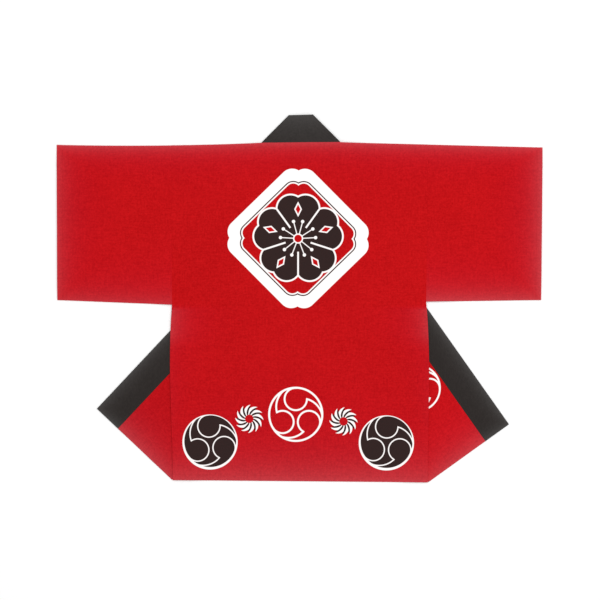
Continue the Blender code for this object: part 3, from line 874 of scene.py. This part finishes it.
def spindle_faces():
    """Faces of one stitch, rings of points with a tip at either end, and its number of points.

    A triangle at a tip is given as a quad whose last two corners are the same.
    """
    grid = np.arange(STITCH_RINGS * STITCH_SIDES).reshape(STITCH_RINGS, STITCH_SIDES)
    beyond = np.roll(grid, -1, axis=1)
    sleeve = np.stack([grid[:-1], beyond[:-1], beyond[1:], grid[1:]], axis=-1).reshape(-1, 4)
    first, last = np.full(STITCH_SIDES, grid.size), np.full(STITCH_SIDES, grid.size + 1)
    start = np.stack([beyond[0], grid[0], first, first], axis=-1)
    end = np.stack([grid[-1], beyond[-1], last, last], axis=-1)
    return np.concatenate([sleeve, start, end]), grid.size + 2


def stitches(name, lines, look, material):
    """Short threads along lines on the cloth, as one mesh.

    Each line is a run of points with normals. It is measured along its length and gets a stitch
    every pitch: a six-sided spindle whose ends dip into the cloth. Its height falls off with the
    fourth power of the distance from its middle, and its thickness is the square root of what
    that power leaves of 1.
    """
    along = np.linspace(-0.5, 0.5, STITCH_RINGS)
    to_end = (2.0 * along) ** 4
    radius = look.thread / 2.0 * np.sqrt(np.maximum(1.0 - to_end, STITCH_BLUNT))
    sink = look.thread * (STITCH_PROUD - STITCH_DIP * to_end)
    tip = STITCH_TIP * look.thread * np.array([-1.0, 1.0])[None, :, None]
    angle = np.arange(STITCH_SIDES) * 2.0 * np.pi / STITCH_SIDES
    one, corners = spindle_faces()
    places, faces, total = [], [], 0
    for points, normal in lines:
        run = np.concatenate([[0.0], np.cumsum(np.linalg.norm(np.diff(points, axis=0), axis=1))])
        count = int((run[-1] - look.stitch_pitch) / look.stitch_pitch)
        middle = (np.arange(count) + 1.0) * run[-1] / (count + 1)
        at = middle[:, None] + along * look.stitch_pitch * STITCH_SHARE
        spine, up = (np.stack([np.interp(at, run, values[:, i]) for i in range(3)], axis=-1)
                     for values in (points, normal))
        up /= np.linalg.norm(up, axis=-1, keepdims=True)
        ahead = np.gradient(spine, axis=1)
        ahead /= np.linalg.norm(ahead, axis=-1, keepdims=True)
        beside = np.cross(ahead, up)
        spine = spine + up * sink[None, :, None]
        ring = (np.cos(angle)[None, None, :, None] * beside[:, :, None, :]
                + np.sin(angle)[None, None, :, None] * up[:, :, None, :])
        body = spine[:, :, None, :] + ring * radius[None, :, None, None]
        tips = spine[:, [0, -1]] + ahead[:, [0, -1]] * tip
        places.append(np.concatenate([body.reshape(count, -1, 3), tips], axis=1).reshape(-1, 3))
        shift = total + np.arange(count)[:, None, None] * corners
        faces.append((one[None] + shift).reshape(-1, 4))
        total += count * corners
    quads = np.concatenate(faces).tolist()
    polygons = [quad[:3] if quad[2] == quad[3] else quad for quad in quads]
    return new_piece(name, np.concatenate(places), polygons, material)


# --- Shader maths --------------------------------------------------------------------------------


class Wire:
    """A socket of a shader tree. Arithmetic on it adds Math nodes."""

    def __init__(self, tree, socket=None):
        self.tree = tree
        self.socket = socket

    def node(self, kind, settings=None, sockets=None, output=0):
        """Adds a node, its settings first and then the values or wires of its sockets."""
        made = self.tree.nodes.new("ShaderNode" + kind)
        for name, value in (settings or {}).items():
            setattr(made, name, value)
        for key, value in (sockets or {}).items():
            if isinstance(value, Wire):
                self.tree.links.new(value.socket, made.inputs[key])
            else:
                made.inputs[key].default_value = value
        return Wire(self.tree, made.outputs[output] if made.outputs else None)

    def parts(self, attribute):
        """The three parts of a vector attribute of the mesh."""
        vector = self.node("Attribute", {"attribute_name": attribute}, output=1)
        split = self.node("SeparateXYZ", None, {0: vector})
        return [Wire(self.tree, socket) for socket in split.socket.node.outputs]

    def math(self, operation, *values, clamp=False):
        """A Math node on these values."""
        settings = {"operation": operation, "use_clamp": clamp}
        return self.node("Math", settings, dict(enumerate(values)))

    def __add__(self, other):
        return self.math("ADD", self, other)

    def __sub__(self, other):
        return self.math("SUBTRACT", self, other)

    def __rsub__(self, other):
        return self.math("SUBTRACT", other, self)

    def __mul__(self, other):
        return self.math("MULTIPLY", self, other)

    def __truediv__(self, other):
        return self.math("DIVIDE", self, other)

    def __rtruediv__(self, other):
        return self.math("DIVIDE", other, self)

    def __pow__(self, other):
        return self.math("POWER", self, other)

    def __neg__(self):
        return self.math("SUBTRACT", 0.0, self)

    def __abs__(self):
        return self.math("ABSOLUTE", self)

    __radd__ = __add__
    __rmul__ = __mul__


def least(first, second):
    """The smaller of two values. Of two signed distances, that joins the shapes."""
    return first.math("MINIMUM", first, second)


def most(first, second):
    """The larger of two values. Of two signed distances, that keeps what both shapes share."""
    return first.math("MAXIMUM", first, second)


def length_of(x, y):
    """Length of the vector (x, y)."""
    vector = x.node("CombineXYZ", None, {0: x, 1: y})
    return x.node("VectorMath", {"operation": "LENGTH"}, {0: vector}, output=1)


def clamped(value, factor, offset):
    """The value times the factor plus the offset, kept from 0 to 1."""
    return value.math("MULTIPLY_ADD", value, factor, offset, clamp=True)


def within(distance):
    """1 where a signed distance is negative and 0 where it is positive, across a soft edge."""
    return clamped(distance, -1.0 / SOFT_EDGE, 0.5)


def over(value, limit):
    """1 where the value is over the limit, else 0."""
    return value.math("GREATER_THAN", value, limit)


def blend(share, first, second):
    """The first colour, and by its share the second."""
    return share.node("Mix", {"data_type": "RGBA"}, {0: share, 6: first, 7: second}, output=2)


def in_axes(x, y, cosine, sine):
    """Coordinates of the same point in axes turned by the angle of this cosine and sine."""
    return x * cosine + y * sine, y * cosine - x * sine


def rotated(x, y, angle):
    """Coordinates of the same point in axes turned by an angle."""
    return in_axes(x, y, float(np.cos(angle)), float(np.sin(angle)))


# --- Print ---------------------------------------------------------------------------------------


def comma(x, y, line):
    """Outline of the comma whose head is at the top, as a signed distance to its white line.

    The head is a circle whose line thins and ends where the tail leaves it. The tail's inner edge
    is an arc from the notch beside the head until it meets the ring.
    """
    from_tail = length_of(x - TAIL_X, y - TAIL_Y)
    above = y - HEAD_OUT
    taper = most(least(x, above), 0.0) * HEAD_TAPER
    head = abs(length_of(x, above) - HEAD_RADIUS) - line / 2 + taper
    opening = least(x - HEAD_END, from_tail - (TAIL_RADIUS + line / 2))
    tail = most(abs(from_tail - TAIL_RADIUS) - line / 2, most(NOTCH_X - x, TAIL_Y - y))
    return least(most(head, opening), tail)


def filled(first, second):
    """Joins two shapes as least does, and fills the narrow end of the gap between them."""
    return first.math("SMOOTH_MIN", first, second, INK_FILL)


def roundel(x, y, line, ring):
    """Signed distance to the white lines of three commas inside a ring, which has no outer edge."""
    lines = (ROUNDEL_RADIUS - ring) - length_of(x, y)
    for turn in range(3):
        lines = filled(lines, comma(*rotated(x, y, turn * 2.0 * np.pi / 3.0), line))
    return lines


def pinwheel(x, y):
    """Blades swirling round a bare middle: masks of the white blades and of the black between.

    The angle plus the swirl at that radius is cut into equal sectors. A blade fills its sector but
    for a line of even width on both sides, and its outer end slants to a tip.
    """
    radius = length_of(x, y)
    angle = x.math("ARCTAN2", y, x) + radius * WHEEL_SWIRL + WHEEL_PHASE
    share = x.math("FRACT", angle * (WHEEL_BLADES / (2.0 * np.pi)))
    sector = radius * (2.0 * np.pi / WHEEL_BLADES)
    border = least(share, 1.0 - share) * sector
    half_gap = least(sector * NARROW_GAP, WHEEL_GAP / 2)
    limit = (1.0 - WHEEL_SLANT * share**WHEEL_CURVE) * WHEEL_RADIUS
    blade = most(most(half_gap - border, WHEEL_HOLE - radius), radius - limit)
    between = most(most(border - half_gap, WHEEL_HOLE - radius), radius - GAP_REACH * WHEEL_RADIUS)
    return within(blade), within(between)


def notched_diamond(x, y, scale):
    """Signed distance to a diamond whose corners are pairs of lobes with a notch between them.

    In one quarter it is a line between two circle centres, widened by their radius, and all that
    lies between that line and the middle.
    """
    near, far, radius = LOBE_NEAR * scale, LOBE_FAR * scale, LOBE_RADIUS * scale
    x, y = abs(x), abs(y)
    length = np.sqrt(2.0) * (far - near)
    along, across = rotated(x - near, y - far, -np.pi / 4)
    beyond = most(most(-along, along - length), 0.0)
    capsule = length_of(beyond, across) - radius
    return least(capsule, most(across, most(x, y) - far))


def blossom(x, y):
    """Five notched petals: masks of white and of black.

    The angle is folded into one half petal. A petal is the union of a circle beside its axis, its
    mirror image and all that is nearer the middle, so its tip has a notch. White lines part the
    petals, ring a red leaf in each and a red eye in the middle, and draw stamens.
    """
    size = BLOSSOM_RADIUS
    radius = length_of(x, y)
    turns = x.math("ARCTAN2", x, y) * (PETALS / (2.0 * np.pi)) + 0.5
    fold = abs(x.math("FRACT", turns) - 0.5) * (2.0 * np.pi / PETALS)
    across = radius * x.math("SINE", fold)
    along = radius * x.math("COSINE", fold)
    lobe = length_of(across - PETAL_ASIDE * size, along - PETAL_OUT * size) - PETAL_ROUND * size
    petal = least(lobe, along - PETAL_FOOT * size)
    to_parting = abs(radius * x.math("SINE", np.pi / PETALS - fold))
    parting = most(to_parting - 0.5 * PETAL_LINE, PARTING_FROM * size - radius)
    slant = across * LEAF_SLOPE + abs(along - LEAF_OUT * size)
    leaf = (slant - LEAF_HALF * size) / LEAF_SCALE
    eye = radius - EYE_RADIUS * size
    side, ahead = rotated(across, along, -STAMEN_ANGLE)
    stamen = most(abs(side) - STAMEN_HALF, ahead - STAMEN_END * size)
    anther = length_of(side, ahead - ANTHER_OUT * size) - ANTHER_RADIUS
    lines = least(least(parting, leaf), least(eye, least(stamen, anther)))
    red = within(least(leaf, eye) + RED_INSET * PETAL_LINE)
    black = within(most(petal, -lines))
    return within(petal - PETAL_LINE) * (1.0 - black) * (1.0 - red), black


def back_print(x, y):
    """The back's masks of white and of black ink: frame, blossom, roundels and pinwheels.

    Each third of the width holds one roundel and each half one pinwheel, so their formulas are
    worked out once, with the place and the measures that belong to the third or the half.
    """
    fx, fy = x - DIAMOND_AT[0], y - DIAMOND_AT[1]
    corners = rotated(fx, fy / FRAME_TALL, FRAME_TURN)
    outer = notched_diamond(*corners, 1.0)
    inner = notched_diamond(*corners, FRAME_INNER)
    frame_mask = within(outer)
    line_mask = within(inner)
    white_line = within(inner + FRAME_BLACK)
    field = within(inner + FRAME_BLACK + FRAME_WHITE)
    petals, black_petals = blossom(fx, fy)
    white = frame_mask * (1.0 - line_mask) + white_line * (1.0 - field) + field * petals
    black = line_mask * (1.0 - white_line) + field * black_petals

    right_third = over(x, (ROUNDEL_MIDDLE[0] + ROUNDEL_RIGHT[0]) / 2.0)
    left_third = 1.0 - over(x, (ROUNDEL_MIDDLE[0] + ROUNDEL_LEFT[0]) / 2.0)
    solid = left_third + right_third

    def by_third(left, middle, right):
        """The number that belongs to the third of the width in which a point lies."""
        return middle + left_third * (left - middle) + right_third * (right - middle)

    at_x, at_y = (place - by_third(ROUNDEL_LEFT[i], ROUNDEL_MIDDLE[i], ROUNDEL_RIGHT[i])
                  for i, place in enumerate((x, y)))
    disc = within(length_of(at_x, at_y) - ROUNDEL_RADIUS)
    slip_x, slip_y = at_x - solid * SOLID_SLIP[0], at_y - solid * SOLID_SLIP[1]
    cosine, sine = (by_third(*wave(ROUNDEL_TURN).tolist()) for wave in (np.cos, np.sin))
    line = OUTLINE_LINE + solid * (SOLID_LINE - OUTLINE_LINE)
    ring = OUTLINE_RING + solid * (SOLID_RING - OUTLINE_RING)
    lines = within(roundel(*in_axes(slip_x, slip_y, cosine, sine), line, ring))
    white = white + disc * lines
    black = black + disc * solid * (1.0 - lines)

    right_half = over(x, 0.0)
    wheel_x, wheel_y = (place - WHEEL_LEFT[i] - right_half * (WHEEL_RIGHT[i] - WHEEL_LEFT[i])
                        for i, place in enumerate((x, y)))
    blades, gaps = pinwheel(wheel_x, wheel_y)
    return white + blades, black + gaps


def front_print(side):
    """A front's masks of white and of black ink: one roundel in white lines."""
    def masks(x, y):
        out = side.hem_half - FRONT_ROUNDEL_IN[side.name]
        at_x = (x + side.sign * out) / FRONT_ROUNDEL_SCALE
        at_y = (y - (hem_y(side, out) + FRONT_ROUNDEL_UP)) / FRONT_ROUNDEL_SCALE
        placed = rotated(at_x, at_y, FRONT_ROUNDEL_TURN * side.sign)
        lines = roundel(*placed, FRONT_LINE, FRONT_LINE)
        return within(most(lines, length_of(at_x, at_y) - ROUNDEL_RADIUS)), None
    return masks


# --- Materials -----------------------------------------------------------------------------------


def tone(colour, factor=1.0, offset=0.0):
    """A colour times a factor plus an offset, with full alpha."""
    return tuple(min(1.0, factor * c + offset) for c in colour) + (1.0,)


def new_material(name):
    """An empty material, and a wire on which its nodes are made."""
    material = bpy.data.materials.new(name)
    material.use_nodes = True
    material.node_tree.nodes.clear()
    return material, Wire(material.node_tree)


def cotton(name, colour, look, masks=None, specular=0.05, sheen=0.12, hazed=True):
    """Plain-woven cotton.

    Threads run along and across the cut as sine waves, one over the other by turns. Slubs, uneven
    dye and worn edges vary its colour; painted shade darkens the weave's hollows, and a painted
    pale sheen and bluish haze lighten it along the coat's outline. Ink lies on the outside only and
    half fills the weave.
    """
    material, shop = new_material(name)
    x, y, face = shop.parts("cut")
    rub, painted_sheen, haze = shop.parts("wear")
    outside = over(face, 0.0)

    def noise(across, along, detail, seed):
        """Cloudy noise with a number of spots per metre each way, from 0 to 1."""
        at = x.node("CombineXYZ", None, {0: x * across, 1: y * along, 2: seed})
        sockets = {"Vector": at, "Scale": 1.0, "Detail": detail}
        return x.node("TexNoise", {"noise_dimensions": "3D"}, sockets)

    warp = x.math("SINE", x * (np.pi / look.weave))
    weft = y.math("SINE", y * (np.pi / look.weave))
    on_top = over(warp * weft, 0.0)
    threads = on_top * abs(warp) + (1.0 - on_top) * abs(weft)
    slub_width = SLUB_WIDTH / look.weave
    warp_slubs = noise(slub_width, SLUB_LENGTH, detail=2.0, seed=3.1)
    weft_slubs = noise(SLUB_LENGTH, slub_width, detail=2.0, seed=7.7)
    slubs = warp_slubs + weft_slubs
    mottle = noise(MOTTLE, MOTTLE, detail=3.0, seed=1.3)
    clouds = noise(*CLOUDS, detail=2.0, seed=5.2)

    # Tone from dye slubs, mottle and clouds, and painted shade from the threads' height: darker in
    # the weave's hollows.
    shade = (0.5 + (slubs - 1.0) * DYE_AND_WEAVE_SHADE["slubs"] + (mottle - 0.5) * DYE_AND_WEAVE_SHADE["mottle"]
             + (clouds - 0.5) * DYE_AND_WEAVE_SHADE["clouds"] + (threads - THREAD_MIDDLE) * DYE_AND_WEAVE_SHADE["threads"])
    base = blend(clamped(shade, 1.0, 0.0), tone(colour, *DEEP), tone(colour, *BRIGHT))
    base = blend(rub * (RUB[0] + mottle * RUB[1]), base, tone(colour, *RUBBED))
    # Painted sheen along the coat's outline: paler towards white, then a faint bluish haze.
    base = blend(painted_sheen * (OUTLINE_SHEEN[0] + mottle * OUTLINE_SHEEN[1]), base, WHITE)
    if hazed:
        base = blend(haze * HAZE_SHARE, base, HAZE_TONE)
    base = blend((1.0 - outside) * INSIDE_SHARE, base, tone(colour, *DULL))
    depth = RELIEF["threads"] * threads + RELIEF["slubs"] * slubs
    rough = ROUGH + (mottle - 0.5) * ROUGH_VARIES
    if masks:
        white, black = masks(x, y)
        cover = (INK_COVER + (threads - INK_LEVEL) * INK_THIN["threads"]
                 + (mottle - 0.5) * INK_THIN["mottle"])
        inked = white
        if black is not None:
            base = blend(black * outside * cover, base, tone(look.ink_black))
            inked = white + black
        base = blend(white * outside * cover, base, tone(look.ink_white))
        covered = inked * outside
        depth = depth * (1.0 - covered * INK_SMOOTH)
        rough = rough - covered * INK_GLOSS
    relief = {"Strength": WEAVE_BUMP, "Distance": WEAVE_DEPTH, "Height": depth}
    bump = shop.node("Bump", None, relief)
    surface = shop.node("BsdfPrincipled", None, {
        "Base Color": base, "Roughness": rough, "Normal": bump, "Specular IOR Level": specular,
        "Sheen Weight": sheen, "Sheen Roughness": 0.45, "Sheen Tint": tone(colour)})
    shop.node("OutputMaterial", None, {"Surface": surface})
    return material


def thread_material(name, colour):
    """Sewing thread with a fine grain in Object coordinates."""
    material, shop = new_material(name)
    place = shop.node("TexCoord", output=3)
    grain = shop.node("TexNoise", None, {"Vector": place, "Scale": THREAD_GRAIN, "Detail": 1.0})
    share = clamped(grain, GRAIN_CONTRAST, GRAIN_SHIFT)
    base = blend(share, tone(colour, *THREAD_DARK), tone(colour, *THREAD_LIGHT))
    rough = 0.62 + grain * 0.2
    bump = shop.node("Bump", None, {"Strength": 0.4, "Distance": 0.0001, "Height": grain})
    surface = shop.node("BsdfPrincipled", None, {
        "Base Color": base, "Roughness": rough, "Normal": bump, "Specular IOR Level": 0.12})
    shop.node("OutputMaterial", None, {"Surface": surface})
    return material


def plain_material(name, colour):
    """An even matt surface for the floor."""
    material = bpy.data.materials.new(name)
    material.use_nodes = True
    shader = material.node_tree.nodes["Principled BSDF"]
    shader.inputs["Base Color"].default_value = tone(colour)
    shader.inputs["Roughness"].default_value = 1.0
    shader.inputs["Specular IOR Level"].default_value = 0.0
    return material


# --- Operators -----------------------------------------------------------------------------------


def declare(piece, node):
    """Makes a piece ride on the coat and stand for its node."""
    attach(piece, "root")
    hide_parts(node)


class HAPPI_OT_back(bpy.types.Operator):
    """Lays the printed back with its turned hem"""

    bl_idname = "happi.back"
    bl_label = "Back"

    def execute(self, context):
        look = context.scene.happi_coat
        radius = look.cloth / 2.0
        x = even_lines(-BODY_HALF, BODY_HALF, look.step, radius)
        panel = back_panel(look, x, hem_lines(look), rim(radius))
        walls = hem_walls(look, full_inside(panel), panel.hem)
        material = cotton("red_cotton_back", look.red, look, back_print)
        piece = cloth_piece("back_cloth", panel, walls, 1.0, material)
        declare(piece, "back")
        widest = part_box("back")
        width, length = widest[1].x - widest[0].x, LEFT.neck_y - HEM_Y
        0.99 * width * length
        return {"FINISHED"}


class HAPPI_OT_fronts(bpy.types.Operator):
    """Lays both fronts, each turned over its slanting crease"""

    bl_idname = "happi.fronts"
    bl_label = "Fronts"

    def execute(self, context):
        look = context.scene.happi_coat
        radius = look.cloth / 2.0
        for side in SIDES:
            width = side.hem_half - side.edge_out
            share = even_lines(0.0, 1.0 + SEWN_IN / width, look.step / width, radius / width)
            panel = front_panel(look, side, share, hem_lines(look), rim(radius))
            walls = hem_walls(look, full_inside(panel), panel.hem, second_outside=True)
            # Painted light and shade: the left front's red is darker and the right front's lighter
            # than the back's.
            red = [FRONT_PAINTED_LIGHT[side.name] * channel for channel in look.red]
            material = cotton("red_cotton_front_" + side.name, red, look, front_print(side))
            piece = cloth_piece("front_" + side.name + "_cloth", panel, walls, side.sign, material)
            declare(piece, "front_" + side.name)
            reach_in, length = side.hem_half - side.neck_out, side.neck_y - HEM_Y
            area = (side.hem_half - (side.edge_out + side.neck_out) / 2.0) * length
        return {"FINISHED"}


class HAPPI_OT_sleeves(bpy.types.Operator):
    """Lays both sleeves as flat tubes with turned cuffs"""

    bl_idname = "happi.sleeves"
    bl_label = "Sleeves"

    def execute(self, context):
        look = context.scene.happi_coat
        radius = look.cloth / 2.0
        material = cotton("red_cotton_sleeves", look.red, look)
        for side in SIDES:
            length = side.cuff_top - BODY_HALF
            rows = heights(np.zeros(1), np.full(1, length), rim(radius), hem_lines(look), look.step)
            panel = sleeve_panel(look, side, rows[:, 0] / length)
            full = np.broadcast_to(fullness(len(rows))[:, None], panel.hem.shape)
            walls = hem_walls(look, full, panel.hem)
            name = "sleeve_" + side.name + "_cloth"
            piece = cloth_piece(name, panel, walls, -side.sign, material, ring=True)
            declare(piece, "sleeve_" + side.name)
            around = 2.0 * (side.neck_y - side.underarm_y)
            0.98 * around * length
        return {"FINISHED"}


class HAPPI_OT_collar(bpy.types.Operator):
    """Lays the black collar band from hem to hem round the neck"""

    bl_idname = "happi.collar"
    bl_label = "Collar"

    def execute(self, context):
        look = context.scene.happi_coat
        width = even_lines(BAND_GAP, BAND_WIDTH, look.step, BAND / 2.0)
        panel = collar_panel(look, width)
        half = (BAND / 2.0 - groove(width, BAND_SEAM)[None, :]) * full_inside(panel)
        material = cotton("black_cotton_collar", look.black, look,
                          specular=0.12, sheen=0.2, hazed=False)
        piece = cloth_piece("collar_cloth", panel, (half, half), 1.0, material)
        declare(piece, "collar")
        return {"FINISHED"}


class HAPPI_OT_stitches(bpy.types.Operator):
    """Sews the hems, the cuffs and the collar band with visible threads"""

    bl_idname = "happi.stitches"
    bl_label = "Stitches"

    def execute(self, context):
        look = context.scene.happi_coat
        red = thread_material("red_thread", look.red)
        black = thread_material("black_thread", look.black)
        near = look.hem - GROOVE_WIDTH + SEW_ROWS
        face = look.cloth / 2.0 + HEM_PROUD - GROOVE

        x = np.linspace(-BODY_HALF + SEW_MARGIN, BODY_HALF - SEW_MARGIN, BACK_POINTS)
        points = back_panel(look, x, near, np.zeros(1)).points[:len(near)]
        runs = [("back_hem_stitches", points, normals_of(points))]
        for side in SIDES:
            points = self.front_rows(look, side, np.linspace(SEW_FROM, SEW_TO, FRONT_POINTS), near)
            normal = normals_of(points) * side.sign
            runs.append(("front_" + side.name + "_hem_stitches", points, normal))
            station = 1.0 - near[::-1] / (side.cuff_top - BODY_HALF)
            points = sleeve_panel(look, side, station).points
            normal = normals_of(points, ring=True) * -side.sign
            runs.append(("cuff_" + side.name + "_stitches", points, normal))
        for name, points, normal in runs:
            line = (points[1] + normal[1] * face, normal[1])
            self.sewn(stitches(name, [line], look, red), "red_cotton")

        width = BAND_SEAM + SEW_ROWS
        points = collar_panel(look, width).points[RIM_STEPS + 1:-RIM_STEPS - 1]
        normal = normals_of(points)
        lines = [(points[:, 1] + normal[:, 1] * sense * (BAND / 2.0 - GROOVE), normal[:, 1] * sense)
                 for sense in (1.0, -1.0)]
        self.sewn(stitches("collar_stitches", lines, look, black), "black_cotton")
        return {"FINISHED"}

    def front_rows(self, look, side, share, near):
        """Three rows of a front at distances from its hem, straight through the crease."""
        place = mix(side_out(side, HEM_Y), edge_out(side, HEM_Y), share)
        y = hem_y(side, place) + near[:, None]
        out = np.broadcast_to(place, y.shape)
        return settled(turned(side, out, y, LAYER / 2.0))

    def sewn(self, piece, slot):
        """A run of stitches rides on the coat."""
        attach(piece, "root")


class HAPPI_OT_stage(bpy.types.Operator):
    """Sets out the floor, the soft light and the camera above the coat"""

    bl_idname = "happi.stage"
    bl_label = "Floor, light and camera"

    def execute(self, context):
        scene = context.scene
        set_up = scene.happi_stage
        ways = ((-1.0, -1.0), (1.0, -1.0), (1.0, 1.0), (-1.0, 1.0))
        corners = np.array([[x * FLOOR_HALF, y * FLOOR_HALF, FLOOR_Z] for x, y in ways])
        matt = plain_material("matt_floor", set_up.floor)
        floor = new_piece("floor", corners, [(0, 1, 2, 3)], matt)

        world = bpy.data.worlds.new("studio")
        world.use_nodes = True
        background = world.node_tree.nodes["Background"]
        background.inputs["Color"].default_value = WHITE
        background.inputs["Strength"].default_value = set_up.sky
        scene.world = world

        lamp = bpy.data.lights.new("key", "AREA")
        lamp.shape = "SQUARE"
        lamp.size = LAMP_SIZE
        lamp.energy = set_up.key
        key = bpy.data.objects.new("key", lamp)
        key.location = LAMP_AT
        key.rotation_euler = key.location.to_track_quat("Z", "Y").to_euler()
        scene.collection.objects.link(key)

        camera = bpy.data.objects.new("camera", bpy.data.cameras.new("camera"))
        camera.data.lens = set_up.lens
        camera.location = set_up.camera_at
        scene.collection.objects.link(camera)
        scene.camera = camera
        scene.view_settings.view_transform = "Standard"
        return {"FINISHED"}


class HAPPI_PT_coat(bpy.types.Panel):
    """Sidebar panel with the settings and one button for each group of pieces"""

    bl_idname = "HAPPI_PT_coat"
    bl_label = "Happi Coat"
    bl_space_type = "VIEW_3D"
    bl_region_type = "UI"
    bl_category = "Happi Coat"

    def draw(self, context):
        for group in (context.scene.happi_coat, context.scene.happi_stage):
            box = self.layout.box()
            for name in group.__annotations__:
                box.prop(group, name)
        for operator in OPERATORS:
            self.layout.operator(operator.bl_idname)


OPERATORS = (
    HAPPI_OT_fronts,
    HAPPI_OT_sleeves,
    HAPPI_OT_back,
    HAPPI_OT_collar,
    HAPPI_OT_stitches,
    HAPPI_OT_stage,
)
CLASSES = (CoatSettings, StageSettings, *OPERATORS, HAPPI_PT_coat)


def register():
    for cls in CLASSES:
        bpy.utils.register_class(cls)
    bpy.types.Scene.happi_coat = bpy.props.PointerProperty(type=CoatSettings)
    bpy.types.Scene.happi_stage = bpy.props.PointerProperty(type=StageSettings)


def unregister():
    del bpy.types.Scene.happi_stage
    del bpy.types.Scene.happi_coat
    for cls in reversed(CLASSES):
        bpy.utils.unregister_class(cls)


def main():
    register()
    bpy.ops.happi.fronts()
    bpy.ops.happi.sleeves()
    bpy.ops.happi.back()
    bpy.ops.happi.collar()
    bpy.ops.happi.stitches()
    bpy.ops.happi.stage()


if __name__ == "__main__":
    main()
